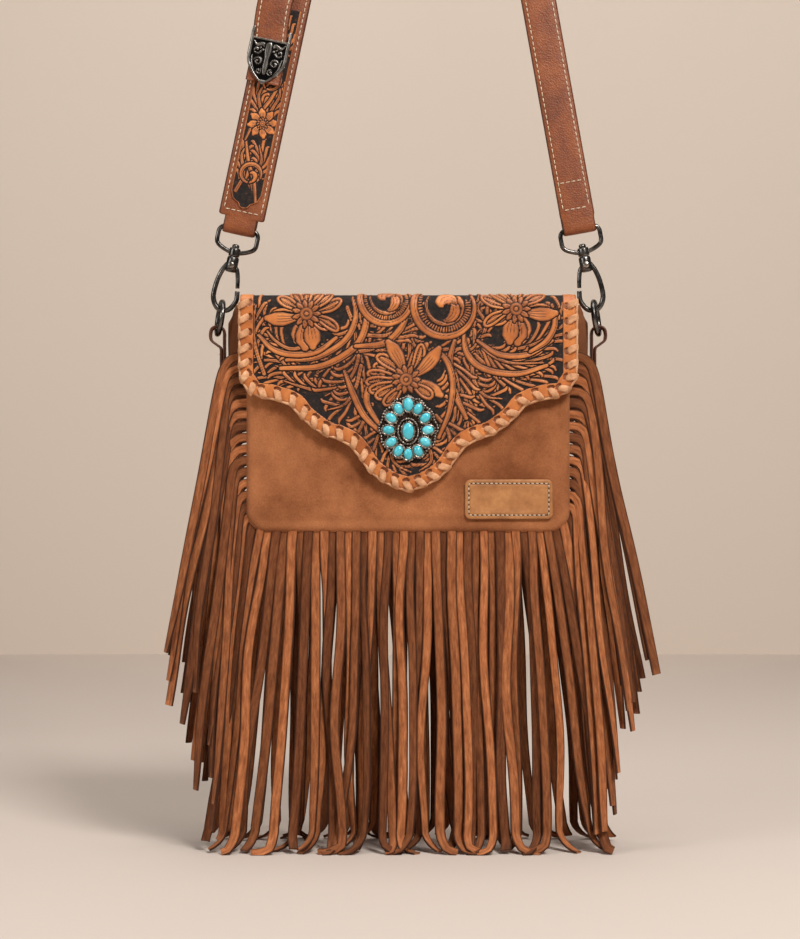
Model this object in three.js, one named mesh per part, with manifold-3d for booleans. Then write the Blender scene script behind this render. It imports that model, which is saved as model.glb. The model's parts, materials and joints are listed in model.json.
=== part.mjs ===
// Fringed suede shoulder bag with a tooled leather flap, in millimetres, +Z up, front towards -Y.
// It hangs by its strap, and the origin is the underside of the strap at its highest point.
import * as THREE from 'three';
import { mergeVertices } from 'three/addons/utils/BufferGeometryUtils.js';
import Module from 'manifold-3d';

const wasm = await Module();
wasm.setup();

// Clearance between two pieces that touch
const GAP = 0.3;

// Bag body: two suede panels sewn to a gusset, with the fringe caught in each seam
const BODY_WIDTH = 235;
const BODY_HEIGHT = 169;
const BODY_DEPTH = 40;
const BODY_CORNER = 14;
const PANEL_THICKNESS = 3;
const FRONT_BELOW_TOP = 8.5;
const GUSSET_THICKNESS = 2.5;
const GUSSET_BULGE = 17;
const GUSSET_BELOW_TOP = 3;

// Fringe
const FRINGE_LENGTH = 230;
const FRINGE_THICKNESS = 1.3;
const FRINGE_EASE = 0.2;
const FRINGE_STRIP = 4.9;
const FRINGE_PITCH = 5.7;
const FRINGE_HEADER = 6;
const SIDE_STRIPS = 11;
const SIDE_PITCH = 10.4;

// Flap, hinged where it is sewn to the back panel
const FLAP_WIDTH = 243;
const FLAP_THICKNESS = 3;
const FLAP_SIDE = 60;
const FLAP_POINT = 82;
const FLAP_ROOM_FRONT = 4;
const FLAP_ROOM_BACK = 0.4;
const FLAP_ROOM_TOP = 0.6;
const FLAP_BEND = 9;
const FLAP_BACK_BEND = 5;
const FLAP_SEAM_DROP = 29;
const RELIEF = 1.1;

// Lacing round the flap's edge
const LACE_WIDTH = 5;
const LACE_THICKNESS = 1;
const LACE_PITCH = 10.8;
const LACE_INSET = 4.6;

// Concho, snap and label
const CONCHO_WIDTH = 44;
const CONCHO_HEIGHT = 48;
const CONCHO_THICKNESS = 2;
const CONCHO_ABOVE_POINT = 45;
const STONE_HEIGHT = 2.4;
const POST_RADIUS = 2;
const SNAP_RADIUS = 8;
const SNAP_ABOVE_POINT = 14;
const LABEL_WIDTH = 64;
const LABEL_HEIGHT = 29;
const LABEL_THICKNESS = 2.5;
const LABEL_X = BODY_WIDTH / 2 - 44.5;
const LABEL_ABOVE_BOTTOM = 24;

// Ring and tab at each side
const RING_RADIUS = 12;
const RING_WIRE = 2;
const RING_TURN = 0.2;
const TAB_WIDTH = 12;
const TAB_THICKNESS = 2;
const TAB_LENGTH = 34;
const TAB_PLAY = 0.9;

// Snap hook and swivel eye at each side
const HOOK_PLAY = 2;
const HOOK_X = FLAP_WIDTH / 2 + 15;
const HOOK_WIRE = 2;
const HOOK_HALF_WIDTH = 8.8;
const HOOK_HEIGHT = 40;
const GATE_TIP = 16.5;
const RIVET_BELOW_TOP = 6.5;
const HEAD_RADIUS = 4.4;
const RIVET_RADIUS = 1.1;
const GATE_RADIUS = 1.6;
const POST_SHAFT = 1.7;
const COLLAR_RADIUS = 4;
const COLLAR_HEIGHT = 6;
const CAP_RADIUS = 2.7;
const CAP_HEIGHT = 2.6;
const EYE_WIRE = 1.65;
const EYE_HEIGHT = 18;
const EYE_LOW_CORNER = 13;

// Straps
const LEAN = { left: THREE.MathUtils.degToRad(12), right: THREE.MathUtils.degToRad(10.2) };
const SHORT_WIDTH = 34;
const LONG_WIDTH = 25.4;
const STRAP_THICKNESS = 3;
const LONG_THICKNESS = 2.5;
const SHORT_LENGTH = 225;
const TURN_BACK = 36;
const LONG_LENGTH = 230;
const EYE_STRAP = 24;
const BUCKLE_STRAP = 22;
const ARCH_RADIUS = 45;
const BILLET_OFFSET = 8.3;
const BILLET_BELOW_BUCKLE = 118;
const OVERLAY_WIDTH = 24;
const OVERLAY_LENGTH = 150;
const OVERLAY_THICKNESS = 1.2;
const TIP_WIDTH = 29;
const TIP_HEIGHT = 42;
const TIP_THICKNESS = 2.2;

// Buckle and keeper
const BUCKLE_WIRE = 1.75;
const BUCKLE_HEIGHT = 27;
const BUCKLE_FORWARD = 5.1;
const PRONG_RADIUS = 1.1;
const KEEPER_HEIGHT = 9;
const KEEPER_THICKNESS = 1.6;
const KEEPER_BELOW_BUCKLE = 24;

// Levels worked out from the sizes above; the fringe tips are at zero
const BOTTOM = FRINGE_LENGTH;
const TOP = BOTTOM + BODY_HEIGHT;
const HALF = BODY_WIDTH / 2;
const PANEL_FACE = BODY_DEPTH / 2;
const HEADER_Y = PANEL_FACE - PANEL_THICKNESS - GAP - FRINGE_THICKNESS / 2;
const GUSSET_HALF = HEADER_Y - FRINGE_THICKNESS / 2 - GAP;
const FLAP_INNER_FRONT = -PANEL_FACE - FLAP_ROOM_FRONT;
const FLAP_OUTER_FRONT = FLAP_INNER_FRONT - FLAP_THICKNESS;
const FLAP_INNER_TOP = TOP + FLAP_ROOM_TOP;
const FLAP_OUTER_TOP = FLAP_INNER_TOP + FLAP_THICKNESS;
const FLAP_SIDE_END = FLAP_OUTER_TOP - FLAP_SIDE;
const FLAP_TIP = FLAP_SIDE_END - FLAP_POINT;
const FLAP_HINGE_Z = FLAP_OUTER_TOP - FLAP_SEAM_DROP;

const materials = {
  suede: { color: 0xb8703c, roughness: 0.95, metalness: 0 },
  fringe: { color: 0xbd7440, roughness: 0.95, metalness: 0 },
  tooled: { color: 0xb4602a, roughness: 0.5, metalness: 0 },
  lace: { color: 0xd9a878, roughness: 0.8, metalness: 0 },
  label: { color: 0xc49a6c, roughness: 0.6, metalness: 0 },
  strap: { color: 0xa85c2c, roughness: 0.6, metalness: 0 },
  overlay: { color: 0x5a2f1a, roughness: 0.5, metalness: 0 },
  gunmetal: { color: 0x4a4642, roughness: 0.35, metalness: 1 },
  silver: { color: 0x9a948a, roughness: 0.35, metalness: 1 },
  turquoise: { color: 0x2fa3b8, roughness: 0.25, metalness: 0 },
};

const bag = new THREE.Group();
const vector = (x, y, z) => new THREE.Vector3(x, y, z);

function addPiece(parent, name, geometry, finish) {
  const mesh = new THREE.Mesh(geometry, new THREE.MeshStandardMaterial(materials[finish]));
  mesh.name = name;
  parent.add(mesh);
  return mesh;
}

// Keeps only the positions, joins the shared corners and turns the faces outwards
function closed(source) {
  const bare = source.clone();
  bare.deleteAttribute('normal');
  bare.deleteAttribute('uv');
  const geometry = mergeVertices(bare, 1e-4);
  const place = geometry.attributes.position;
  const index = geometry.index.array;
  const corner = [vector(), vector(), vector()];
  let volume = 0;
  for (let i = 0; i < index.length; i += 3) {
    corner.forEach((point, k) => point.fromBufferAttribute(place, index[i + k]));
    volume += corner[0].dot(corner[1].clone().cross(corner[2]));
  }
  if (volume < 0) {
    for (let i = 0; i < index.length; i += 3) {
      [index[i], index[i + 1]] = [index[i + 1], index[i]];
    }
  }
  return geometry;
}

function toSolid(source) {
  const geometry = closed(source);
  const vertProperties = new Float32Array(geometry.attributes.position.array);
  const triVerts = new Uint32Array(geometry.index.array);
  return new wasm.Manifold(new wasm.Mesh({ numProp: 3, vertProperties, triVerts }));
}

function toGeometry(solid) {
  const mesh = solid.getMesh();
  const geometry = new THREE.BufferGeometry();
  geometry.setAttribute('position', new THREE.BufferAttribute(new Float32Array(mesh.vertProperties), 3));
  geometry.setIndex(new THREE.BufferAttribute(new Uint32Array(mesh.triVerts), 1));
  return geometry;
}

const join = (parts) => parts.reduce((sum, part) => sum.add(part));

function moved(geometry, x, y, z) {
  return geometry.clone().translate(x, y, z);
}

// An outline in X and Z, thickened along Y between two faces
function plate(shape, front, back, bevel = 0) {
  const options = { depth: back - front - 2 * bevel, curveSegments: 4, bevelEnabled: bevel > 0 };
  if (bevel > 0) {
    const chamfer = { bevelThickness: bevel, bevelSize: bevel, bevelOffset: -bevel, bevelSegments: 1 };
    Object.assign(options, chamfer);
  }
  const geometry = new THREE.ExtrudeGeometry(shape, options);
  geometry.rotateX(Math.PI / 2);
  return moved(geometry, 0, back - bevel, 0);
}

function roundedRectangle(width, height, radius, centreX = 0, centreZ = 0, lowRadius = radius) {
  const shape = new THREE.Shape();
  const right = centreX + width / 2;
  const left = centreX - width / 2;
  const high = centreZ + height / 2;
  const low = centreZ - height / 2;
  shape.moveTo(left + lowRadius, low);
  shape.lineTo(right - lowRadius, low);
  shape.absarc(right - lowRadius, low + lowRadius, lowRadius, -Math.PI / 2, 0);
  shape.lineTo(right, high - radius);
  shape.absarc(right - radius, high - radius, radius, 0, Math.PI / 2);
  shape.lineTo(left + radius, high);
  shape.absarc(left + radius, high - radius, radius, Math.PI / 2, Math.PI);
  shape.lineTo(left, low + lowRadius);
  shape.absarc(left + lowRadius, low + lowRadius, lowRadius, Math.PI, Math.PI * 1.5);
  return shape;
}

// A turned piece, its profile given as radius and height, standing along Z
function turned(profile, sides = 16) {
  const points = profile.map(([radius, height]) => new THREE.Vector2(radius, height));
  return new THREE.LatheGeometry([...points, points[0]], sides).rotateX(Math.PI / 2);
}

function rod(radius, start, end, sides = 12) {
  const length = start.distanceTo(end);
  const geometry = new THREE.CylinderGeometry(radius, radius, length, sides);
  const turn = new THREE.Quaternion().setFromUnitVectors(vector(0, 1, 0), end.clone().sub(start).normalize());
  geometry.applyQuaternion(turn);
  return moved(geometry, ...start.clone().add(end).multiplyScalar(0.5).toArray());
}

// A flat band through stations, each with a place, a unit vector across the band and a width
function band(stations, thickness) {
  const last = stations.length - 1;
  const frames = stations.map((station, i) => {
    const before = stations[Math.max(i - 1, 0)].at;
    const after = stations[Math.min(i + 1, last)].at;
    const into = station.at.clone().sub(before).normalize();
    const out = after.clone().sub(station.at).normalize();
    const tangent = into.clone().add(out).normalize();
    const mitre = i > 0 && i < last ? Math.sqrt(2 / (1 + into.dot(out))) : 1;
    const normal = tangent.clone().cross(station.across).normalize();
    return { normal, mitre };
  });
  const geometry = new THREE.BoxGeometry(1, 1, 1, 1, 1, last);
  const place = geometry.attributes.position;
  for (let i = 0; i < place.count; i += 1) {
    const k = Math.round((place.getZ(i) + 0.5) * last);
    const point = stations[k].at.clone();
    point.addScaledVector(stations[k].across, place.getX(i) * stations[k].width);
    point.addScaledVector(frames[k].normal, place.getY(i) * thickness * frames[k].mitre);
    place.setXYZ(i, point.x, point.y, point.z);
  }
  return closed(geometry);
}

// A round wire along a flat curve in X and Z; the wire may grow or shrink along it
function wire(curve, radiusAt, steps, sides = 6) {
  const geometry = new THREE.CylinderGeometry(1, 1, 1, sides, steps);
  const place = geometry.attributes.position;
  for (let i = 0; i < place.count; i += 1) {
    const share = THREE.MathUtils.clamp(place.getY(i) + 0.5, 0, 1);
    const tangent = curve.getTangentAt(share);
    const normal = vector(tangent.z, 0, -tangent.x);
    const point = curve.getPointAt(share);
    point.addScaledVector(normal, place.getX(i) * radiusAt(share));
    point.y += place.getZ(i) * radiusAt(share);
    place.setXYZ(i, point.x, point.y, point.z);
  }
  return closed(geometry);
}

// A closed ring of round wire whose middle follows an outline in X and Z
function wireLoop(outline, wireRadius) {
  const apart = (point, k, all) => k === 0 || point.distanceTo(all[k - 1]) > 0.01;
  const points = outline.getPoints(3).filter(apart);
  if (points[0].distanceTo(points[points.length - 1]) < 0.01) points.pop();
  const count = points.length;
  const geometry = new THREE.TorusGeometry(10, 1, 6, count);
  const place = geometry.attributes.position;
  for (let i = 0; i < place.count; i += 1) {
    const turn = Math.atan2(place.getY(i), place.getX(i)) / (2 * Math.PI);
    const k = (Math.round(turn * count) + count) % count;
    const into = points[k].clone().sub(points[(k + count - 1) % count]).normalize();
    const out = points[(k + 1) % count].clone().sub(points[k]).normalize();
    const tangent = into.clone().add(out).normalize();
    const mitre = Math.sqrt(2 / (1 + into.dot(out)));
    const away = (Math.hypot(place.getX(i), place.getY(i)) - 10) * wireRadius * mitre;
    const height = points[k].y - tangent.x * away;
    place.setXYZ(i, points[k].x + tangent.y * away, place.getZ(i) * wireRadius, height);
  }
  return closed(geometry);
}

// Small repeatable numbers from 0 to 1, so that no two strips hang quite alike
function chance(seed) {
  const value = Math.sin(seed * 12.9898) * 43758.5453;
  return value - Math.floor(value);
}

// Suede panels, front and back
function panel(front, back, high) {
  const outline = roundedRectangle(BODY_WIDTH, high - BOTTOM, 4, 0, (BOTTOM + high) / 2, BODY_CORNER);
  const bevel = PANEL_THICKNESS / 2 - 0.05;
  return closed(plate(outline, front, back, bevel));
}
const frontPanel = panel(-PANEL_FACE, -PANEL_FACE + PANEL_THICKNESS, TOP - FRONT_BELOW_TOP);
addPiece(bag, 'front_panel', frontPanel, 'suede');
addPiece(bag, 'back_panel', panel(PANEL_FACE - PANEL_THICKNESS, PANEL_FACE, TOP), 'suede');

// The gusset is one strip down a side, under the bottom and up the other side; it swells out at its ends
function gussetPath() {
  const edge = HALF - GUSSET_THICKNESS / 2 - 1;
  const low = BOTTOM + GUSSET_THICKNESS / 2 + 1;
  const high = TOP - GUSSET_BELOW_TOP;
  const path = new THREE.CurvePath();
  const corner = (x0, z0, x1, z1, x2, z2) =>
    new THREE.QuadraticBezierCurve3(vector(x0, 0, z0), vector(x1, 0, z1), vector(x2, 0, z2));
  path.add(new THREE.LineCurve3(vector(-edge, 0, high), vector(-edge, 0, low + BODY_CORNER)));
  path.add(corner(-edge, low + BODY_CORNER, -edge, low, -edge + BODY_CORNER, low));
  path.add(new THREE.LineCurve3(vector(-edge + BODY_CORNER, 0, low), vector(edge - BODY_CORNER, 0, low)));
  path.add(corner(edge - BODY_CORNER, low, edge, low, edge, low + BODY_CORNER));
  path.add(new THREE.LineCurve3(vector(edge, 0, low + BODY_CORNER), vector(edge, 0, high)));
  return path;
}

function gusset() {
  const path = gussetPath();
  const steps = 30;
  const geometry = new THREE.BoxGeometry(1, 1, 1, 1, 4, steps);
  const place = geometry.attributes.position;
  for (let i = 0; i < place.count; i += 1) {
    const share = THREE.MathUtils.clamp(place.getZ(i) + 0.5, 0, 1);
    const across = place.getY(i) * 2;
    const point = path.getPointAt(share);
    const tangent = path.getTangentAt(share);
    const outward = vector(tangent.z, 0, -tangent.x);
    const rise = THREE.MathUtils.smoothstep(point.z, TOP - 110, TOP - 55);
    const mouth = THREE.MathUtils.smoothstep(point.z, TOP - 16, TOP);
    const swell = GUSSET_BULGE * rise * (1 - 0.45 * mouth) * (1 - across ** 2);
    point.addScaledVector(outward, swell + place.getX(i) * GUSSET_THICKNESS);
    point.y = across * GUSSET_HALF;
    place.setXYZ(i, point.x, point.y, point.z);
  }
  return closed(geometry);
}
addPiece(bag, 'gusset', gusset(), 'suede');

// Each fringe is one piece of suede: an uncut header in the seam, and the strips cut from it
function fringeHeader(y) {
  const edge = HALF - 0.5;
  const inner = edge - FRINGE_HEADER;
  const low = BOTTOM + 0.5;
  const high = BOTTOM + 20 + SIDE_STRIPS * SIDE_PITCH;
  const shape = new THREE.Shape();
  shape.moveTo(-edge, high);
  shape.lineTo(-edge, low + BODY_CORNER);
  shape.absarc(-edge + BODY_CORNER, low + BODY_CORNER, BODY_CORNER, Math.PI, Math.PI * 1.5);
  shape.lineTo(edge - BODY_CORNER, low);
  shape.absarc(edge - BODY_CORNER, low + BODY_CORNER, BODY_CORNER, -Math.PI / 2, 0);
  shape.lineTo(edge, high);
  shape.lineTo(inner, high);
  shape.lineTo(inner, low + BODY_CORNER);
  shape.lineTo(inner - BODY_CORNER + FRINGE_HEADER, low + FRINGE_HEADER);
  shape.lineTo(-inner + BODY_CORNER - FRINGE_HEADER, low + FRINGE_HEADER);
  shape.lineTo(-inner, low + BODY_CORNER);
  shape.lineTo(-inner, high);
  return plate(shape, y - FRINGE_THICKNESS / 2, y + FRINGE_THICKNESS / 2);
}

// A strip hangs from the bottom seam, nearly straight; its neighbours swing to either side of it
function hangingStrip(x, y, start, seed, lane, steps) {
  const sway = (chance(seed) - 0.5) * 3;
  const lift = chance(seed + 31) * 6;
  const depth = lane * (1.6 + 2 * chance(seed + 67));
  const twist = (chance(seed + 91) - 0.5) * 0.6;
  const stations = [];
  for (let k = 0; k <= steps; k += 1) {
    const t = k / steps;
    const at = vector(x + sway * t * t, y + depth * t * t, start + (lift - start) * t);
    const angle = twist * t;
    stations.push({ at, across: vector(Math.cos(angle), Math.sin(angle), 0), width: FRINGE_STRIP });
  }
  return band(stations, FRINGE_THICKNESS - FRINGE_EASE);
}

// A strip from a side seam runs level at first, then turns over and hangs; the higher ones reach further
function sideStrip(side, y, start, seed, height, lane, steps) {
  const reach = 20 + (height + 0.12 * chance(seed)) * 30;
  const depth = Math.sign(y) * (3.5 + 3.5 * lane + chance(seed + 17));
  const spread = height * 8 + chance(seed + 41) * 2;
  const droop = reach * 0.9;
  const straight = FRINGE_LENGTH - reach * 1.5;
  const curve = new THREE.CatmullRomCurve3([
    vector(side * (HALF - 2), y, start),
    vector(side * (HALF + 7), y, start - 0.6),
    vector(side * (HALF + reach * 0.72), y + depth * 0.3, start - droop * 0.35),
    vector(side * (HALF + reach), y + depth * 0.7, start - droop - 8),
    vector(side * (HALF + reach + spread * 0.4), y + depth, start - droop - straight * 0.5),
    vector(side * (HALF + reach + spread), y + depth, Math.max(start - droop - straight, 2)),
  ]);
  const final = 0.5 + chance(seed + 53) * 0.8;
  const stations = [];
  for (let k = 0; k <= steps; k += 1) {
    const t = (k / steps) ** 1.35;
    const tangent = curve.getTangentAt(t);
    const flat = vector(-tangent.z, 0, tangent.x).multiplyScalar(side);
    const turn = final * THREE.MathUtils.smoothstep(t, 0.05, 0.4);
    const out = tangent.clone().cross(flat);
    const lift = -side * Math.sin(turn) * Math.sign(y);
    const across = flat.multiplyScalar(Math.cos(turn)).addScaledVector(out, lift).normalize();
    stations.push({ at: curve.getPointAt(t), across, width: FRINGE_STRIP + 0.6 });
  }
  return band(stations, FRINGE_THICKNESS - FRINGE_EASE);
}

function fringe(y, seed, steps) {
  const parts = [toSolid(fringeHeader(y))];
  const run = BODY_WIDTH - 2 * FRINGE_STRIP;
  const count = Math.floor(run / FRINGE_PITCH);
  for (let i = 0; i < count; i += 1) {
    const x = (i - (count - 1) / 2) * FRINGE_PITCH;
    const past = Math.max(Math.abs(x) + FRINGE_STRIP / 2 - (HALF - BODY_CORNER), 0);
    const rise = BODY_CORNER - Math.sqrt(Math.max(BODY_CORNER ** 2 - past ** 2, 0));
    parts.push(toSolid(hangingStrip(x, y, BOTTOM + 3 + rise, seed + i, i % 2 ? 1 : -1, steps)));
  }
  for (const side of [-1, 1]) {
    for (let i = 0; i < SIDE_STRIPS; i += 1) {
      const start = BOTTOM + BODY_CORNER + SIDE_PITCH * (i + 0.5);
      const number = seed + 100 * (side + 2) + i;
      parts.push(toSolid(sideStrip(side, y, start, number, i / SIDE_STRIPS, i % 3, steps + 2)));
    }
  }
  return toGeometry(join(parts));
}
addPiece(bag, 'fringe_front', fringe(-HEADER_Y, 3, 3), 'fringe');
addPiece(bag, 'fringe_back', fringe(HEADER_Y, 1007, 2), 'fringe');

// The flap's front outline, from one top corner round the point to the other
function flapEdge(inset = 0) {
  const half = FLAP_WIDTH / 2 - inset;
  const shares = [[0.97, 0.07], [0.92, 0.16], [0.8, 0.19], [0.69, 0.25], [0.62, 0.37], [0.5, 0.5]];
  shares.push([0.4, 0.55], [0.32, 0.63], [0.23, 0.82], [0.12, 0.94]);
  const drop = FLAP_POINT - inset;
  const right = shares.map(([x, fall]) => new THREE.Vector2(x * half, FLAP_SIDE_END - fall * drop));
  const left = right.map((point) => new THREE.Vector2(-point.x, point.y)).reverse();
  const tip = new THREE.Vector2(0, FLAP_TIP + inset);
  const rightEnd = new THREE.Vector2(half, FLAP_SIDE_END);
  const leftEnd = new THREE.Vector2(-half, FLAP_SIDE_END);
  const bendStart = FLAP_OUTER_TOP - FLAP_BEND;
  const path = new THREE.CurvePath();
  path.add(new THREE.LineCurve(new THREE.Vector2(half, bendStart), rightEnd));
  path.add(new THREE.SplineCurve([rightEnd, ...right, tip, ...left, leftEnd]));
  path.add(new THREE.LineCurve(leftEnd, new THREE.Vector2(-half, bendStart)));
  return path;
}

// The side view of the flap: up the back, over the top and down the front, one thickness all along
function flapProfile() {
  const shape = new THREE.Shape();
  const innerBend = FLAP_BEND - FLAP_THICKNESS;
  const round = FLAP_THICKNESS / 2;
  const frontX = -FLAP_OUTER_FRONT;
  const backX = -(PANEL_FACE + FLAP_ROOM_BACK + FLAP_THICKNESS);
  shape.moveTo(frontX, FLAP_TIP);
  shape.lineTo(frontX, FLAP_OUTER_TOP - FLAP_BEND);
  shape.absarc(frontX - FLAP_BEND, FLAP_OUTER_TOP - FLAP_BEND, FLAP_BEND, 0, Math.PI / 2);
  shape.lineTo(backX + FLAP_BACK_BEND, FLAP_OUTER_TOP);
  const bendX = backX + FLAP_BACK_BEND;
  const bendZ = FLAP_OUTER_TOP - FLAP_BACK_BEND;
  shape.absarc(bendX, bendZ, FLAP_BACK_BEND, Math.PI / 2, Math.PI);
  shape.lineTo(backX, FLAP_HINGE_Z);
  shape.absarc(backX + round, FLAP_HINGE_Z, round, Math.PI, Math.PI * 2);
  shape.lineTo(backX + FLAP_THICKNESS, FLAP_OUTER_TOP - FLAP_BACK_BEND);
  const backInner = FLAP_BACK_BEND - FLAP_THICKNESS;
  shape.absarc(bendX, bendZ, backInner, Math.PI, Math.PI / 2, true);
  shape.lineTo(frontX - FLAP_BEND, FLAP_INNER_TOP);
  shape.absarc(frontX - FLAP_BEND, FLAP_OUTER_TOP - FLAP_BEND, innerBend, Math.PI / 2, 0, true);
  shape.lineTo(frontX - FLAP_THICKNESS, FLAP_TIP);
  const options = { depth: FLAP_WIDTH, bevelEnabled: false, curveSegments: 5 };
  const geometry = new THREE.ExtrudeGeometry(shape, options);
  geometry.rotateX(Math.PI / 2);
  geometry.rotateZ(-Math.PI / 2);
  return moved(geometry, FLAP_WIDTH / 2, 0, 0);
}

// Tooling stands on the flap's front as low raised shapes
const TOOL_FRONT = FLAP_OUTER_FRONT - RELIEF;
const TOOL_BACK = FLAP_OUTER_FRONT + 0.6;

function flower(x, z, radius) {
  const shape = new THREE.Shape();
  const petals = 5;
  const steps = 30;
  for (let k = 0; k < steps; k += 1) {
    const angle = (k / steps) * Math.PI * 2 + Math.PI / 2;
    const reach = radius * (0.62 + 0.38 * Math.abs(Math.cos((petals * (angle - Math.PI / 2)) / 2)));
    const px = x + reach * Math.cos(angle);
    const pz = z + reach * Math.sin(angle);
    if (k === 0) shape.moveTo(px, pz);
    else shape.lineTo(px, pz);
  }
  const centre = turned([[0, 0], [radius * 0.3, 0], [radius * 0.3, 1.2], [radius * 0.2, 1.9], [0, 1.9]], 12);
  centre.rotateX(Math.PI / 2);
  return join([toSolid(plate(shape, TOOL_FRONT, TOOL_BACK)), toSolid(moved(centre, x, TOOL_BACK, z))]);
}

// A leaf runs from its root to its tip with a belly to one side
function leaf(x0, z0, x1, z1, belly) {
  const along = new THREE.Vector2(x1 - x0, z1 - z0);
  const aside = new THREE.Vector2(-along.y, along.x);
  const at = (share, out) => [x0 + along.x * share + aside.x * out, z0 + along.y * share + aside.y * out];
  const shape = new THREE.Shape();
  shape.moveTo(x0, z0);
  shape.bezierCurveTo(...at(0.25, belly), ...at(0.7, belly), x1, z1);
  shape.bezierCurveTo(...at(0.75, -belly * 0.35), ...at(0.3, -belly * 0.45), x0, z0);
  return toSolid(plate(shape, TOOL_FRONT, TOOL_BACK));
}

// A stem is a curved strip of one width
function stem(points, width) {
  const curve = new THREE.SplineCurve(points.map(([x, z]) => new THREE.Vector2(x, z)));
  const steps = points.length * 3;
  const sides = [[], []];
  for (let k = 0; k <= steps; k += 1) {
    const point = curve.getPoint(k / steps);
    const tangent = curve.getTangent(k / steps);
    const half = (width / 2) * (1 - 0.55 * (k / steps));
    sides[0].push(new THREE.Vector2(point.x - tangent.y * half, point.y + tangent.x * half));
    sides[1].unshift(new THREE.Vector2(point.x + tangent.y * half, point.y - tangent.x * half));
  }
  return toSolid(plate(new THREE.Shape([...sides[0], ...sides[1]]), TOOL_FRONT, TOOL_BACK));
}

function tooling() {
  const high = FLAP_OUTER_TOP;
  const parts = [flower(-74, high - 14.5, 25), flower(78, high - 12, 24), flower(0, high - 65, 25)];
  const spiral = (x, z, radius, turn, way) => {
    const points = [];
    for (let k = 0; k <= 7; k += 1) {
      const angle = turn + way * k * 0.78;
      const reach = radius * (1 - k * 0.075);
      points.push([x + reach * Math.cos(angle), z + reach * Math.sin(angle)]);
    }
    return stem(points, 5);
  };
  parts.push(spiral(-20, high - 11, 20, -2.2, 1));
  parts.push(spiral(28, high - 16, 22, 3.6, -1));
  parts.push(stem([[-28, high - 60], [-50, high - 48], [-78, high - 46], [-104, high - 56]], 5));
  parts.push(stem([[28, high - 62], [52, high - 46], [80, high - 46], [106, high - 55]], 5));
  for (const side of [-1, 1]) {
    parts.push(leaf(side * 98, high - 12, side * 113, high - 40, side * 0.35));
    parts.push(leaf(side * 62, high - 44, side * 88, high - 66, side * -0.35));
    parts.push(leaf(side * 34, high - 70, side * 54, high - 92, side * -0.35));
    parts.push(leaf(side * 30, high - 92, side * 14, high - 122, side * -0.3));
    parts.push(leaf(side * 44, high - 34, side * 60, high - 56, side * 0.3));
    parts.push(leaf(side * 88, high - 44, side * 108, high - 68, side * 0.3));
  }
  const inside = plate(new THREE.Shape(flapEdge(LACE_INSET + 4).getPoints(6)), TOOL_FRONT - 3, TOOL_BACK);
  return join(parts).intersect(toSolid(inside));
}

// Where the lacing pierces the flap: a place on the edge, the way along it and the way in from it
function laceHoles() {
  const edge = flapEdge();
  const length = edge.getLength();
  const count = Math.round((length - LACE_PITCH) / LACE_PITCH);
  const holes = [];
  for (let i = 0; i <= count; i += 1) {
    const share = (LACE_PITCH * 0.5 + i * ((length - LACE_PITCH) / count)) / length;
    const point = edge.getPointAt(share);
    const along = edge.getTangentAt(share);
    holes.push({ point, along, inward: new THREE.Vector2(along.y, -along.x) });
  }
  return holes;
}
const holes = laceHoles();

function flap() {
  const outline = plate(new THREE.Shape(flapEdge().getPoints(5)), FLAP_OUTER_FRONT - 1, FLAP_INNER_FRONT + 1);
  const upper = new THREE.BoxGeometry(FLAP_WIDTH, 90, FLAP_SEAM_DROP + 10);
  const upperZ = FLAP_OUTER_TOP + 2 - (FLAP_SEAM_DROP + 10) / 2;
  const bent = toSolid(flapProfile());
  const front = bent.intersect(toSolid(outline));
  const over = bent.intersect(toSolid(moved(upper, 0, 0, upperZ)));
  let solid = join([front, over, tooling()]);
  const depth = FLAP_THICKNESS + 4;
  for (const hole of holes) {
    const slot = new THREE.BoxGeometry(LACE_WIDTH + 2 * GAP, depth, LACE_THICKNESS + 2 * GAP);
    slot.rotateY(-Math.atan2(hole.along.y, hole.along.x));
    const x = hole.point.x + hole.inward.x * LACE_INSET;
    const z = hole.point.y + hole.inward.y * LACE_INSET;
    solid = solid.subtract(toSolid(moved(slot, x, FLAP_INNER_FRONT - FLAP_THICKNESS / 2, z)));
  }
  const bore = (radius, z) =>
    toSolid(rod(radius, vector(0, FLAP_OUTER_FRONT - 4, z), vector(0, FLAP_INNER_FRONT + 2, z)));
  solid = solid.subtract(bore(POST_RADIUS + GAP, FLAP_TIP + CONCHO_ABOVE_POINT));
  return toGeometry(solid);
}
addPiece(bag, 'flap', flap(), 'tooled');

// The lacing is one flat lace, up through each slot, over the edge and back behind to the next slot
function lacing() {
  const front = FLAP_OUTER_FRONT - GAP - LACE_THICKNESS / 2;
  const back = FLAP_INNER_FRONT + GAP + LACE_THICKNESS / 2;
  const outside = -GAP - LACE_THICKNESS / 2 - 0.1;
  const stations = [];
  const place = (hole, inward, slide, y) => {
    const x = hole.point.x + hole.inward.x * inward + hole.along.x * slide;
    const z = hole.point.y + hole.inward.y * inward + hole.along.y * slide;
    const across = vector(hole.along.x, 0, hole.along.y);
    stations.push({ at: vector(x, y, z), across, width: LACE_WIDTH });
  };
  holes.forEach((hole) => {
    place(hole, LACE_INSET, 0, back);
    place(hole, LACE_INSET, 0, front);
    place(hole, outside, 0.6, front);
    place(hole, outside, 0.6, back);
  });
  return band(stations, LACE_THICKNESS);
}
addPiece(bag, 'flap_lacing', lacing(), 'lace');

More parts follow.
